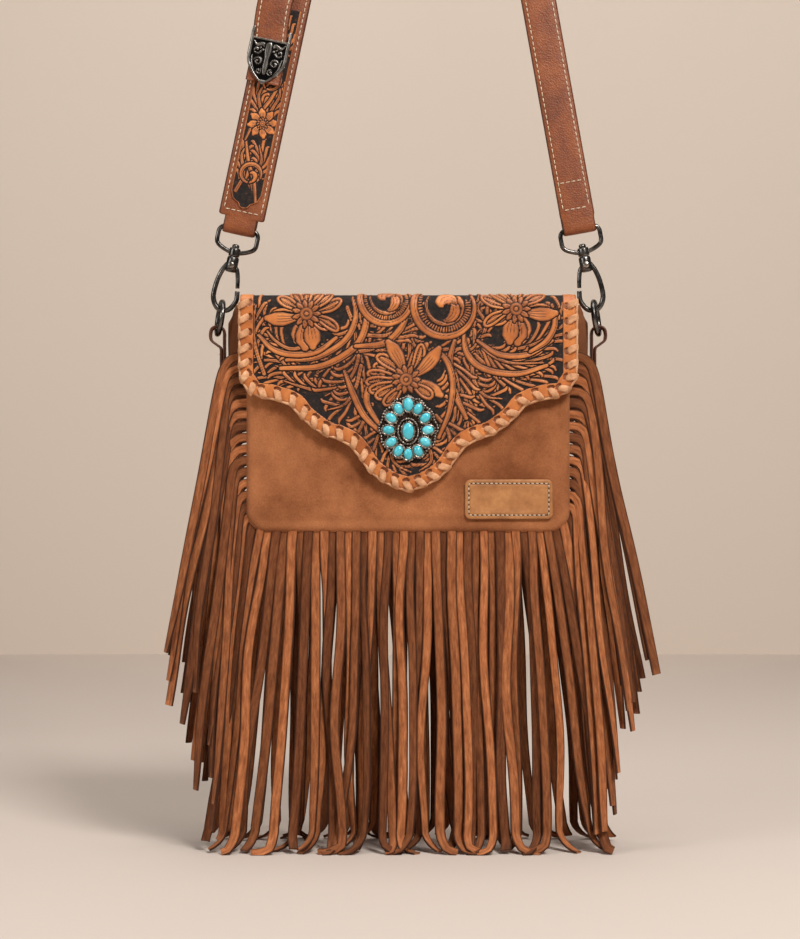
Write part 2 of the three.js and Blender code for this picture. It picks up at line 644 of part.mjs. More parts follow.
// Concho: a cast plate with a ring of stones round a middle one, screwed through the flap
const CONCHO_Z = FLAP_TIP + CONCHO_ABOVE_POINT;
const CONCHO_BACK = FLAP_OUTER_FRONT - RELIEF - GAP;
const CONCHO_FRONT = CONCHO_BACK - CONCHO_THICKNESS;
function conchoPlate() {
  const shape = new THREE.Shape();
  const half = CONCHO_WIDTH / 2;
  const low = CONCHO_Z - CONCHO_HEIGHT / 2;
  const high = CONCHO_Z + CONCHO_HEIGHT / 2;
  shape.moveTo(0, high);
  shape.bezierCurveTo(half * 0.45, high, half * 0.55, high - 7, half * 0.72, high - 11);
  shape.bezierCurveTo(half * 1.1, high - 18, half * 1.12, low + 15, half * 0.72, low + 6);
  shape.bezierCurveTo(half * 0.4, low - 1, half * 0.2, low, 0, low);
  shape.bezierCurveTo(-half * 0.2, low, -half * 0.4, low - 1, -half * 0.72, low + 6);
  shape.bezierCurveTo(-half * 1.12, low + 15, -half * 1.1, high - 18, -half * 0.72, high - 11);
  shape.bezierCurveTo(-half * 0.55, high - 7, -half * 0.45, high, 0, high);
  const solid = toSolid(plate(shape, CONCHO_FRONT, CONCHO_BACK));
  const seatBack = vector(0, CONCHO_BACK + 1, CONCHO_Z);
  const seatFront = vector(0, CONCHO_BACK - 1.2, CONCHO_Z);
  const seat = rod(POST_RADIUS + GAP, seatBack, seatFront);
  return toGeometry(solid.subtract(toSolid(seat)));
}
addPiece(bag, 'concho_plate', conchoPlate(), 'silver');

// The post stands in the plate's blind seat, and its head lies flat against the flap's inner face
function conchoPost() {
  const headFace = FLAP_INNER_FRONT + GAP;
  const length = headFace - (CONCHO_BACK - 1.2 + GAP);
  const profile = [[0, 0], [POST_RADIUS * 2.2, 0], [POST_RADIUS * 2.2, 1.2], [POST_RADIUS, 1.2]];
  profile.push([POST_RADIUS, 1.2 + length], [0, 1.2 + length]);
  const geometry = turned(profile, 12);
  geometry.rotateX(Math.PI / 2);
  return closed(moved(geometry, 0, headFace + 1.2, CONCHO_Z));
}
addPiece(bag, 'concho_post', conchoPost(), 'gunmetal');

// Domed stones: the middle one upright, the others pointing at it
function stone(width, height, x, z, turn) {
  const geometry = turned([[0, 0], [0.5, 0], [0.42, 0.6], [0, 1]], 10);
  geometry.scale(width, height, STONE_HEIGHT);
  geometry.rotateZ(turn);
  geometry.rotateX(Math.PI / 2);
  return closed(moved(geometry, x, CONCHO_FRONT - GAP, z));
}
const STONE_RING_X = 14.2;
const STONE_RING_Z = 17.5;
addPiece(bag, 'stone_middle', stone(8, 12, 0, CONCHO_Z - 2.5, 0), 'turquoise');
for (let i = 0; i < 12; i += 1) {
  const angle = (i / 12) * Math.PI * 2;
  const x = STONE_RING_X * Math.sin(angle);
  const z = CONCHO_Z - 1.5 + STONE_RING_Z * Math.cos(angle) * (i === 0 ? 1.05 : 1);
  const size = i === 0 ? [6.8, 8.4] : [5.2, 7.4];
  const geometry = stone(size[0], size[1], x, z, i === 0 ? 0 : angle);
  addPiece(bag, `stone_${i + 1}`, geometry, 'turquoise');
}

// Magnetic snap behind the flap's point: a disc on the flap and one on the panel
const SNAP_Z = FLAP_TIP + SNAP_ABOVE_POINT;
const SNAP_THICKNESS = (FLAP_ROOM_FRONT - 3 * GAP) / 2;
function snapDisc(front, back) {
  return closed(rod(SNAP_RADIUS, vector(0, front, SNAP_Z), vector(0, back, SNAP_Z), 20));
}
const socketBack = FLAP_INNER_FRONT + GAP + SNAP_THICKNESS;
addPiece(bag, 'snap_socket', snapDisc(FLAP_INNER_FRONT + GAP, socketBack), 'gunmetal');
addPiece(bag, 'snap_stud', snapDisc(socketBack + GAP, -PANEL_FACE - GAP), 'gunmetal');

// Label patch with a raised rim, sewn to the front panel
function labelPatch() {
  const z = BOTTOM + LABEL_ABOVE_BOTTOM;
  const back = -PANEL_FACE - GAP;
  const front = back - LABEL_THICKNESS;
  const base = toSolid(plate(roundedRectangle(LABEL_WIDTH, LABEL_HEIGHT, 4, LABEL_X, z), front, back));
  const inner = roundedRectangle(LABEL_WIDTH - 8, LABEL_HEIGHT - 8, 2.5, LABEL_X, z);
  const well = plate(inner, front - 1, front + 0.7);
  return toGeometry(base.subtract(toSolid(well)));
}
addPiece(bag, 'label_patch', labelPatch(), 'label');

// Hardware and straps at each side stand in a frame that leans with the strap;
// its zero is the middle of the hook's bend, where it passes under the ring's top
const RING_TOP_Z = TOP - 0.2;
const HOOK_Z = RING_TOP_Z - HOOK_WIRE - RING_WIRE - HOOK_PLAY;
const sides = { left: -1, right: 1 };
const leaning = {};
for (const [name, side] of Object.entries(sides)) {
  const frame = new THREE.Group();
  frame.position.set(side * HOOK_X, 0, HOOK_Z);
  frame.rotation.y = -side * LEAN[name];
  frame.updateMatrix();
  bag.add(frame);
  leaning[name] = frame;
}

// Tab: a leather strip folded through the ring, both ends sewn flat to the gusset's swollen side
const GUSSET_OUT = HALF - 1 + GUSSET_BULGE;
const TAB_ROOM = RING_WIRE + Math.sin(RING_TURN) * (TAB_WIDTH / 2) + TAB_PLAY;
const TAB_RISE = RING_RADIUS - Math.sqrt(RING_RADIUS ** 2 - (TAB_WIDTH / 2) ** 2);
const RING_FOOT_X = GUSSET_OUT + GAP + TAB_THICKNESS + TAB_ROOM;
const RING_LEAN = Math.asin((RING_FOOT_X - HOOK_X) / (2 * RING_RADIUS));
const RING_FOOT_Z = RING_TOP_Z - 2 * RING_RADIUS * Math.cos(RING_LEAN);
function tab(side) {
  const inner = GUSSET_OUT + GAP + TAB_THICKNESS / 2;
  const outer = inner + TAB_THICKNESS + GAP;
  const loopTop = RING_WIRE + TAB_RISE + TAB_PLAY + TAB_THICKNESS / 2;
  const loopOut = RING_FOOT_X + TAB_ROOM + TAB_THICKNESS / 2;
  const points = [
    [inner, -TAB_LENGTH],
    [inner, 1.2],
    [inner + 1.2, loopTop - 0.8],
    [RING_FOOT_X, loopTop],
    [loopOut - 1.2, loopTop - 0.8],
    [loopOut, 1.2],
    [loopOut - 0.3, -4.4],
    [outer, -10],
    [outer, -TAB_LENGTH],
  ];
  const across = vector(0, 1, 0);
  const at = ([x, z]) => vector(side * x, 0, RING_FOOT_Z + z);
  const stations = points.map((point) => ({ at: at(point), across, width: TAB_WIDTH }));
  return band(stations, TAB_THICKNESS);
}

// Ring: its foot turns in the tab, and its top hangs in the hook
function ring(side) {
  const geometry = new THREE.TorusGeometry(RING_RADIUS, RING_WIRE, 6, 20);
  geometry.rotateY(Math.PI / 2);
  geometry.rotateZ(-side * RING_TURN);
  return closed(moved(geometry, 0, 0, RING_RADIUS));
}

// Snap hook: a head with the swivel post on it and a bent arm that ends at the gate
const EYE_Z = HOOK_HEIGHT + GAP + COLLAR_HEIGHT / 2;
const RIVET_Z = HOOK_HEIGHT - RIVET_BELOW_TOP;
const SLOT_HALF = GATE_RADIUS + GAP;
const rivetHole = () => toSolid(rod(RIVET_RADIUS + GAP, vector(0, -9, RIVET_Z), vector(0, 9, RIVET_Z), 10));
const teardrop = (share, z) => vector(share * HOOK_HALF_WIDTH, 0, z);

// The gate's side of a round of the given radius about the rivet
function swing(inward, radius) {
  const round = toSolid(rod(radius, vector(0, -9, RIVET_Z), vector(0, 9, RIVET_Z), 40));
  const half = new THREE.BoxGeometry(20, 20, 60);
  return round.intersect(toSolid(moved(half, inward * 12, 0, RIVET_Z)));
}

function hook(inward) {
  const arm = new THREE.CatmullRomCurve3([
    vector(-inward * 3.2, 0, RIVET_Z + 1),
    teardrop(-inward * 0.7, RIVET_Z - 5),
    teardrop(-inward * 0.94, RIVET_Z - 14),
    teardrop(-inward * 0.96, 8.5),
    teardrop(-inward * 0.55, 1.7),
    teardrop(0, 0),
    teardrop(inward * 0.55, 1.7),
    teardrop(inward * 0.96, 8.5),
    teardrop(inward * 0.88, GATE_TIP + 1),
  ]);
  const capLow = EYE_Z + COLLAR_HEIGHT / 2 + GAP;
  const head = turned([
    [0, RIVET_Z - 5],
    [HEAD_RADIUS - 1.2, RIVET_Z - 5],
    [HEAD_RADIUS, RIVET_Z - 3.5],
    [HEAD_RADIUS, HOOK_HEIGHT - 1],
    [HEAD_RADIUS - 1, HOOK_HEIGHT],
    [POST_SHAFT, HOOK_HEIGHT],
    [POST_SHAFT, capLow],
    [CAP_RADIUS, capLow],
    [CAP_RADIUS, capLow + CAP_HEIGHT * 0.5],
    [CAP_RADIUS * 0.6, capLow + CAP_HEIGHT],
    [0, capLow + CAP_HEIGHT],
  ], 10);
  const slot = new THREE.BoxGeometry(9.4, 2 * SLOT_HALF, 12);
  const cut = moved(slot, inward * (9.4 / 2 - 3.2), 0, RIVET_Z - 6 + 3.4);
  const room = swing(inward, RIVET_Z - GATE_TIP + 2 * GAP);
  const bent = toSolid(wire(arm, () => HOOK_WIRE, 18)).subtract(room.intersect(toSolid(moved(
    new THREE.BoxGeometry(20, 20, 8), inward * 12, 0, GATE_TIP))));
  return toGeometry(join([toSolid(head), bent]).subtract(toSolid(cut)).subtract(rivetHole()));
}

// The gate turns on a rivet through the head, and its tip meets the arm's end
function gate(inward) {
  const curve = new THREE.CatmullRomCurve3([
    vector(inward * 0.6, 0, RIVET_Z),
    teardrop(inward * 0.5, RIVET_Z - 2.8),
    teardrop(inward * 0.72, RIVET_Z - 9),
    teardrop(inward * 0.88, GATE_TIP - 2),
  ]);
  const boss = toSolid(rod(2.7, vector(0, -GATE_RADIUS, RIVET_Z), vector(0, GATE_RADIUS, RIVET_Z), 12));
  const lever = boss.add(toSolid(wire(curve, () => GATE_RADIUS, 8)));
  const reach = toSolid(rod(RIVET_Z - GATE_TIP, vector(0, -9, RIVET_Z), vector(0, 9, RIVET_Z), 40));
  return toGeometry(lever.intersect(reach).subtract(rivetHole()));
}

// Swivel eye: a wire loop for the strap, with a bored collar for the hook's post
const EYE_WIDTH = LONG_WIDTH + 2 * GAP + 2 * EYE_WIRE;
const EYE_TOP = EYE_Z + EYE_HEIGHT;
function eye() {
  const corner = (EYE_WIDTH - EYE_STRAP) / 2 - GAP;
  const outline = roundedRectangle(EYE_WIDTH, EYE_HEIGHT, corner, 0, EYE_Z + EYE_HEIGHT / 2, EYE_LOW_CORNER);
  const collarLow = vector(0, 0, EYE_Z - COLLAR_HEIGHT / 2);
  const collarHigh = vector(0, 0, EYE_Z + COLLAR_HEIGHT / 2);
  const collar = rod(COLLAR_RADIUS, collarLow, collarHigh, 12);
  const loop = toSolid(wireLoop(outline, EYE_WIRE)).add(toSolid(collar));
  const bore = rod(POST_SHAFT + GAP, vector(0, 0, EYE_Z - 9), vector(0, 0, EYE_Z + 9), 10);
  return toGeometry(loop.subtract(toSolid(bore)));
}

for (const [name, side] of Object.entries(sides)) {
  const frame = leaning[name];
  addPiece(bag, `${name}_tab`, tab(side), 'strap');
  const ringMesh = addPiece(bag, `${name}_ring`, ring(side), 'gunmetal');
  ringMesh.position.set(side * RING_FOOT_X, 0, RING_FOOT_Z);
  ringMesh.rotation.y = -side * RING_LEAN;
  addPiece(frame, `${name}_hook`, hook(-side), 'gunmetal');
  addPiece(frame, `${name}_gate`, gate(-side), 'gunmetal');
  const rivetEnd = HEAD_RADIUS + 0.6;
  const rivet = rod(RIVET_RADIUS, vector(0, -rivetEnd, RIVET_Z), vector(0, rivetEnd, RIVET_Z), 10);
  addPiece(frame, `${name}_rivet`, closed(rivet), 'gunmetal');
  addPiece(frame, `${name}_eye`, eye(), 'gunmetal');
}

// Straps. A fold is half a turn about a bar that lies along the band
function fold(barZ, radius, upper, width, across) {
  const stations = [];
  for (let k = 0; k <= 4; k += 1) {
    const angle = (k / 4) * Math.PI;
    const y = upper ? -Math.cos(angle) : Math.cos(angle);
    const z = upper ? Math.sin(angle) : -Math.sin(angle);
    stations.push({ at: vector(0, y * radius, barZ + z * radius), across, width });
  }
  return stations;
}

// Short strap: round the left eye below, round the buckle's bar above, both ends turned back behind
const BUCKLE_Z = EYE_TOP + SHORT_LENGTH;
const EYE_FOLD = EYE_WIRE + GAP + STRAP_THICKNESS / 2;
const BUCKLE_FOLD = BUCKLE_WIRE + GAP + STRAP_THICKNESS / 2;
const PRONG_SLOT = 2 * (PRONG_RADIUS + GAP);
function shortStrap() {
  const across = vector(1, 0, 0);
  const at = (y, z, width) => ({ at: vector(0, y, z), across, width });
  const stations = [
    at(EYE_FOLD, EYE_TOP + TURN_BACK, EYE_STRAP),
    ...fold(EYE_TOP, EYE_FOLD, false, EYE_STRAP, across),
    at(-EYE_FOLD, EYE_TOP + 7, EYE_STRAP),
    at(-EYE_FOLD, EYE_TOP + 9, SHORT_WIDTH),
    at(-EYE_FOLD, BUCKLE_Z - 14, SHORT_WIDTH),
    ...fold(BUCKLE_Z, BUCKLE_FOLD, true, BUCKLE_STRAP, across),
    at(BUCKLE_FOLD, BUCKLE_Z - 14, SHORT_WIDTH - 2),
    at(BUCKLE_FOLD, BUCKLE_Z - TURN_BACK, SHORT_WIDTH - 2),
  ];
  const slot = moved(new THREE.BoxGeometry(PRONG_SLOT, 20, 14), 0, 0, BUCKLE_Z + 1);
  return toGeometry(toSolid(band(stations, STRAP_THICKNESS)).subtract(toSolid(slot)));
}
addPiece(leaning.left, 'strap_short', shortStrap(), 'strap');

// Tooled overlay on the short strap, with a pointed lower end
const STRAP_FACE = -EYE_FOLD - STRAP_THICKNESS / 2;
const OVERLAY_LOW = EYE_TOP + 14;
const OVERLAY_FACE = STRAP_FACE - GAP - OVERLAY_THICKNESS;
function overlay() {
  const shape = new THREE.Shape();
  const half = OVERLAY_WIDTH / 2;
  const high = OVERLAY_LOW + OVERLAY_LENGTH;
  shape.moveTo(-half, high);
  shape.lineTo(-half, OVERLAY_LOW + 14);
  shape.quadraticCurveTo(-half, OVERLAY_LOW + 5, -half * 0.35, OVERLAY_LOW + 4);
  shape.lineTo(0, OVERLAY_LOW);
  shape.lineTo(half * 0.35, OVERLAY_LOW + 4);
  shape.quadraticCurveTo(half, OVERLAY_LOW + 5, half, OVERLAY_LOW + 14);
  shape.lineTo(half, high);
  return closed(plate(shape, OVERLAY_FACE, OVERLAY_FACE + OVERLAY_THICKNESS));
}
addPiece(leaning.left, 'strap_overlay', overlay(), 'overlay');

// Buckle: a wire frame on the short strap's fold, leaning forward so the long strap passes behind its top
const BUCKLE_WIDTH = LONG_WIDTH + 6;
function buckle() {
  const outline = roundedRectangle(BUCKLE_WIDTH, BUCKLE_HEIGHT, 3.5, 0, BUCKLE_HEIGHT / 2);
  const geometry = wireLoop(outline, BUCKLE_WIRE);
  geometry.rotateX(Math.asin(BUCKLE_FORWARD / BUCKLE_HEIGHT));
  return closed(moved(geometry, 0, 0, BUCKLE_Z));
}
addPiece(leaning.left, 'buckle_frame', buckle(), 'silver');

// Prong: an eye round the buckle's lower bar, and a tongue that rests on its top bar
function prong() {
  const loopRadius = BUCKLE_WIRE + GAP + PRONG_RADIUS;
  const loop = new THREE.TorusGeometry(loopRadius, PRONG_RADIUS, 6, 16).rotateY(Math.PI / 2);
  const rest = BUCKLE_FORWARD + BUCKLE_WIRE + GAP + PRONG_RADIUS;
  const curve = new THREE.CatmullRomCurve3([
    vector(2.4, 0, 2.2),
    vector(rest * 0.72, 0, 8.5),
    vector(rest * 0.97, 0, 17),
    vector(rest + 0.1, 0, BUCKLE_HEIGHT + 1.4),
  ]);
  const tongue = wire(curve, () => PRONG_RADIUS, 8, 6).rotateZ(-Math.PI / 2);
  return toGeometry(toSolid(moved(loop, 0, 0, BUCKLE_Z)).add(toSolid(moved(tongue, 0, 0, BUCKLE_Z))));
}
addPiece(leaning.left, 'buckle_prong', prong(), 'silver');

// Long strap: its billet hangs in front of the short strap, then it passes the buckle, runs over
// the arch and down to the right eye. It turns its broad face from the front to the outside on the way
function archCentre() {
  const { left, right } = LEAN;
  const share = -Math.sin(left + right);
  const a = ARCH_RADIUS - HOOK_X * Math.cos(left);
  const b = ARCH_RADIUS - HOOK_X * Math.cos(right);
  const x = (Math.sin(left) * b - a * Math.sin(right)) / share;
  const z = HOOK_Z + (Math.cos(left) * b + Math.cos(right) * a) / share;
  return new THREE.Vector2(x, z);
}
const arch = archCentre();

const BILLET_Y = OVERLAY_FACE - GAP - LONG_THICKNESS / 2;
const HEEL_Y = -BUCKLE_FOLD - STRAP_THICKNESS / 2 - GAP - LONG_THICKNESS / 2;
const TOE_Y = -BUCKLE_FORWARD + BUCKLE_WIRE + GAP + LONG_THICKNESS / 2 + 0.4;
function billetPlace(z) {
  const below = BUCKLE_Z - z;
  const back = THREE.MathUtils.smoothstep(below, 60, 110);
  const aside = THREE.MathUtils.smoothstep(below, 14, 60) * (1 - 0.4 * back);
  const lowered = THREE.MathUtils.smoothstep(below, 34, 60);
  const y = below > 0 ? THREE.MathUtils.lerp(HEEL_Y, BILLET_Y, lowered) : HEEL_Y;
  return vector(-BILLET_OFFSET * aside, y, z);
}

function twisted(flat, share) {
  const turn = (THREE.MathUtils.clamp(share, 0, 1) * Math.PI) / 2;
  const facing = flat.clone().multiplyScalar(Math.cos(turn));
  return facing.addScaledVector(vector(0, 1, 0), Math.sin(turn)).normalize();
}

function longStrap() {
  const stations = [];
  const put = (frame, place, flat, share, width = LONG_WIDTH) => {
    stations.push({ at: place.clone().applyMatrix4(frame.matrix), across: twisted(flat, share), width });
  };
  const leftFlat = vector(-1, 0, 0).applyAxisAngle(vector(0, 1, 0), LEAN.left);
  const rightFlat = vector(1, 0, 0).applyAxisAngle(vector(0, 1, 0), -LEAN.right);
  const billetEnd = BUCKLE_Z - BILLET_BELOW_BUCKLE;
  for (const below of [BILLET_BELOW_BUCKLE, 96, 78, 60, 50, 40, 32, 22, 10, -2]) {
    put(leaning.left, billetPlace(Math.max(BUCKLE_Z - below, billetEnd)), leftFlat, 0);
  }
  put(leaning.left, vector(0, TOE_Y, BUCKLE_Z + BUCKLE_HEIGHT - 4), leftFlat, 0);
  put(leaning.left, vector(0, TOE_Y, BUCKLE_Z + BUCKLE_HEIGHT + 5), leftFlat, 0);
  const centre = vector(arch.x, 0, arch.y);
  const rise = (frame) => centre.clone().applyMatrix4(frame.matrix.clone().invert()).z;
  const leftRise = rise(leaning.left);
  const leftStart = BUCKLE_Z + BUCKLE_HEIGHT + 5;
  for (let k = 1; k <= 8; k += 1) {
    const share = k / 8;
    const y = TOE_Y * (1 - THREE.MathUtils.smoothstep(share, 0, 0.5));
    put(leaning.left, vector(0, y, leftStart + (leftRise - leftStart) * share), leftFlat, share);
  }
  const from = Math.PI - LEAN.left;
  for (let k = 1; k < 12; k += 1) {
    const angle = from + (LEAN.right - from) * (k / 12);
    const x = arch.x + ARCH_RADIUS * Math.cos(angle);
    const z = arch.y + ARCH_RADIUS * Math.sin(angle);
    stations.push({ at: vector(x, 0, z), across: vector(0, 1, 0), width: LONG_WIDTH });
  }
  const rightRise = rise(leaning.right);
  const rightEnd = EYE_TOP + LONG_LENGTH;
  const radius = EYE_WIRE + GAP + LONG_THICKNESS / 2;
  for (let k = 0; k <= 8; k += 1) {
    const share = k / 8;
    const y = -radius * THREE.MathUtils.smoothstep(share, 0.5, 1);
    put(leaning.right, vector(0, y, rightRise + (rightEnd - rightRise) * share), rightFlat, 1 - share);
  }
  put(leaning.right, vector(0, -radius, EYE_TOP + 9), rightFlat, 0);
  put(leaning.right, vector(0, -radius, EYE_TOP + 7), rightFlat, 0, EYE_STRAP);
  for (const station of fold(EYE_TOP, radius, false, EYE_STRAP, rightFlat).reverse()) {
    put(leaning.right, station.at, rightFlat, 0, EYE_STRAP);
  }
  put(leaning.right, vector(0, radius, EYE_TOP + TURN_BACK), rightFlat, 0, EYE_STRAP);
  let solid = toSolid(band(stations, LONG_THICKNESS));
  const holeFor = (geometry) => toSolid(geometry.applyMatrix4(leaning.left.matrix));
  const prongHole = moved(new THREE.BoxGeometry(PRONG_SLOT + 2 * GAP, 20, 11), 0, 0, BUCKLE_Z + 8);
  solid = solid.subtract(holeFor(prongHole));
  return toGeometry(solid);
}
addPiece(bag, 'strap_long', longStrap(), 'strap');

// Keeper: a closed leather band round both straps below the buckle
function keeper() {
  const roomX = SHORT_WIDTH / 2 + GAP;
  const front = -Math.max(-HEEL_Y, -BILLET_Y) - LONG_THICKNESS / 2 - GAP - 0.3;
  const back = BUCKLE_FOLD + STRAP_THICKNESS / 2 + GAP;
  const half = roomX + KEEPER_THICKNESS;
  const shape = new THREE.Shape();
  shape.moveTo(-half, front - KEEPER_THICKNESS);
  shape.lineTo(half, front - KEEPER_THICKNESS);
  shape.lineTo(half, back + KEEPER_THICKNESS);
  shape.lineTo(-half, back + KEEPER_THICKNESS);
  const room = new THREE.Path();
  room.moveTo(-roomX, front);
  room.lineTo(-roomX, back);
  room.lineTo(roomX, back);
  room.lineTo(roomX, front);
  shape.holes.push(room);
  const geometry = new THREE.ExtrudeGeometry(shape, { depth: KEEPER_HEIGHT, bevelEnabled: false });
  return closed(moved(geometry, 0, 0, BUCKLE_Z - KEEPER_BELOW_BUCKLE - KEEPER_HEIGHT / 2));
}
addPiece(leaning.left, 'strap_keeper', keeper(), 'strap');

// Cast shield on the billet's end, with a bar across its top and a raised rim
function strapTip() {
  const half = TIP_WIDTH / 2;
  const low = BUCKLE_Z - BILLET_BELOW_BUCKLE - 2;
  const place = billetPlace(low + TIP_HEIGHT / 2);
  const outline = (inset, top) => {
    const shape = new THREE.Shape();
    const side = half - inset;
    const foot = low + inset * 1.2;
    shape.moveTo(-side, top);
    shape.lineTo(-side, foot + TIP_HEIGHT * 0.42);
    shape.bezierCurveTo(-side, foot + TIP_HEIGHT * 0.2, -side * 0.5, foot + TIP_HEIGHT * 0.08, 0, foot);
    const level = (share) => foot + TIP_HEIGHT * share;
    shape.bezierCurveTo(side * 0.5, level(0.08), side, level(0.2), side, level(0.42));
    shape.lineTo(side, top);
    return shape;
  };
  const back = place.y - LONG_THICKNESS / 2 - GAP;
  const front = back - TIP_THICKNESS;
  const top = low + TIP_HEIGHT;
  const body = toSolid(plate(outline(0, top), front, back));
  const field = toSolid(plate(outline(2.6, top - 8), front - 1, front + 0.8));
  return toGeometry(body.subtract(field)).translate(place.x, 0, 0);
}
addPiece(leaning.left, 'strap_tip', strapTip(), 'silver');

bag.position.set(-arch.x, 0, -(arch.y + ARCH_RADIUS - LONG_THICKNESS / 2));

export default bag;
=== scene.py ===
import json
import math

import bpy
import numpy as np
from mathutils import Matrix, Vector


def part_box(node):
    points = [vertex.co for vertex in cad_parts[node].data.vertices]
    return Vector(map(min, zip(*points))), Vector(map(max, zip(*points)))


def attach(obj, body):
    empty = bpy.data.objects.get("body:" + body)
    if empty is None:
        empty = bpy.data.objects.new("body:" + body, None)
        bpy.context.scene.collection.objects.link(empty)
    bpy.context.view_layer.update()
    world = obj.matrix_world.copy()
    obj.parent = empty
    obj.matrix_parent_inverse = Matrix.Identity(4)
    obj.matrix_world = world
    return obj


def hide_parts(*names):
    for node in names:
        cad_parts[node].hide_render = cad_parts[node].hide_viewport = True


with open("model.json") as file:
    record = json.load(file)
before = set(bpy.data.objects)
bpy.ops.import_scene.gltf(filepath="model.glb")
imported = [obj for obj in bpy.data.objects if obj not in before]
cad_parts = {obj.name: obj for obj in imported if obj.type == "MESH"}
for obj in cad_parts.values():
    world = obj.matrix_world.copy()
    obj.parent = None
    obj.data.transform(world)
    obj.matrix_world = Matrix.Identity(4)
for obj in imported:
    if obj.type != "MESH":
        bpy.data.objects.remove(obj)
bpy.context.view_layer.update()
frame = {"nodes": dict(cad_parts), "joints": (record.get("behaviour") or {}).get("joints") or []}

# The bag hangs by its strap with the fringe just touching the floor. The camera stands level with
# the lower half of the flap, straight in front, and crops the straps a little above the hooks.
front_low, front_high = (Vector(corner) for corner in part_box("front_panel"))
back_low, back_high = (Vector(corner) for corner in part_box("back_panel"))
MIDDLE_X = (front_low.x + front_high.x) / 2
BAG_LOW = front_low.z
FLOOR_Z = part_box("fringe_front")[0][2] - 0.0015
CAMERA_HEIGHT = 0.277
CAMERA_DISTANCE = 1.6
CAMERA_ASIDE = -0.0059
FOCAL_PIXELS = 2177
PHOTO_HEIGHT = 939
SENSOR = 36

camera_data = bpy.data.cameras.new("camera")
camera_data.sensor_width = SENSOR
camera_data.lens = FOCAL_PIXELS / PHOTO_HEIGHT * SENSOR
camera_data.clip_end = 20
camera = bpy.data.objects.new("camera", camera_data)
camera.location = (MIDDLE_X + CAMERA_ASIDE, -CAMERA_DISTANCE, FLOOR_Z + CAMERA_HEIGHT)
camera.rotation_euler = (math.radians(90), 0, 0)
bpy.context.scene.collection.objects.link(camera)
bpy.context.scene.camera = camera
bpy.context.scene.view_settings.view_transform = "Standard"


# Plain pale floor and a narrow paper backdrop. A large soft lamp stands high in front on the right, a
# weaker one on the left, and a third above the bag lights the backdrop.
def soft_lamp(name, place, aim, size, watts):
    data = bpy.data.lights.new(name, "AREA")
    data.shape = "SQUARE"
    data.size = size
    data.energy = watts
    lamp = bpy.data.objects.new(name, data)
    lamp.location = place
    lamp.rotation_euler = (Vector(aim) - Vector(place)).to_track_quat("-Z", "Y").to_euler()
    bpy.context.scene.collection.objects.link(lamp)


BAG_CENTRE = (MIDDLE_X, 0, BAG_LOW + 0.05)
soft_lamp("lamp_right", (0.8, -1.5, FLOOR_Z + 1.8), BAG_CENTRE, 0.6, 46)
soft_lamp("lamp_left", (-1.7, -1.2, FLOOR_Z + 1.1), BAG_CENTRE, 0.8, 12)
soft_lamp("lamp_wall", (0, 0.1, FLOOR_Z + 2.6), (0, 1.2, FLOOR_Z + 0.6), 1.6, 30)
world = bpy.data.worlds.new("room")
world.use_nodes = True
world.node_tree.nodes["Background"].inputs["Color"].default_value = (1.0, 0.96, 0.91, 1)
world.node_tree.nodes["Background"].inputs["Strength"].default_value = 0.11
bpy.context.scene.world = world

WALL_COLOUR = (0.715, 0.6, 0.5)
FLOOR_COLOUR = (0.66, 0.555, 0.475)
WALL_AWAY = 1.66
WALL_HALF = 0.64
WALL_HIGH = 2.4
FLOOR_HALF = 6
SHEET_CORNERS = ((-1, 0), (1, 0), (1, 1), (-1, 1))


def stage_sheet(name, corners, colour):
    mesh = bpy.data.meshes.new(name)
    mesh.from_pydata(corners, [], [(0, 1, 2, 3)])
    sheet = bpy.data.objects.new(name, mesh)
    bpy.context.scene.collection.objects.link(sheet)
    paint = bpy.data.materials.new(name)
    paint.use_nodes = True
    shader = paint.node_tree.nodes["Principled BSDF"]
    noise = paint.node_tree.nodes.new("ShaderNodeTexNoise")
    ramp = paint.node_tree.nodes.new("ShaderNodeValToRGB")
    noise.inputs["Scale"].default_value = 2.5
    ramp.color_ramp.elements[0].color = (*(c * 0.96 for c in colour), 1)
    ramp.color_ramp.elements[1].color = (*(c * 1.03 for c in colour), 1)
    paint.node_tree.links.new(noise.outputs["Fac"], ramp.inputs["Fac"])
    paint.node_tree.links.new(ramp.outputs["Color"], shader.inputs["Base Color"])
    shader.inputs["Roughness"].default_value = 0.9
    sheet.data.materials.append(paint)


floor_corners = [(x * FLOOR_HALF, (2 * y - 1) * FLOOR_HALF, FLOOR_Z) for x, y in SHEET_CORNERS]
wall_corners = [(x * WALL_HALF, WALL_AWAY, FLOOR_Z + z * WALL_HIGH) for x, z in SHEET_CORNERS]
stage_sheet("floor", floor_corners, FLOOR_COLOUR)
stage_sheet("wall", wall_corners, WALL_COLOUR)


# Suede panels, front and back: soft hide with a short brushed nap, rolled at the seams and slightly
# padded, so each stands a little proud of the fringe that is caught in its edge.
MM = 0.001
HALF_WIDTH = (front_high.x - front_low.x) / 2
PANEL_CORNER = 15 * MM
PANEL_ROLL = 6 * MM
FRONT_SWELL = 3.4 * MM
BACK_SWELL = 2.3 * MM
SEAM_DIP = 0.7 * MM
SUEDE_LIGHT = (0.46, 0.172, 0.066)
SUEDE_DARK = (0.20, 0.062, 0.021)


def add_mesh(name, points, faces, material, body, stands_for=(), slot=None):
    mesh = bpy.data.meshes.new(name)
    mesh.from_pydata([tuple(p) for p in np.asarray(points, float)], [], [tuple(f) for f in faces])
    mesh.validate()
    mesh.update()
    mesh.polygons.foreach_set("use_smooth", [True] * len(mesh.polygons))
    piece = bpy.data.objects.new(name, mesh)
    bpy.context.scene.collection.objects.link(piece)
    mesh.materials.append(material)
    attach(piece, body)
    if stands_for:
        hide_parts(*stands_for)
    return piece


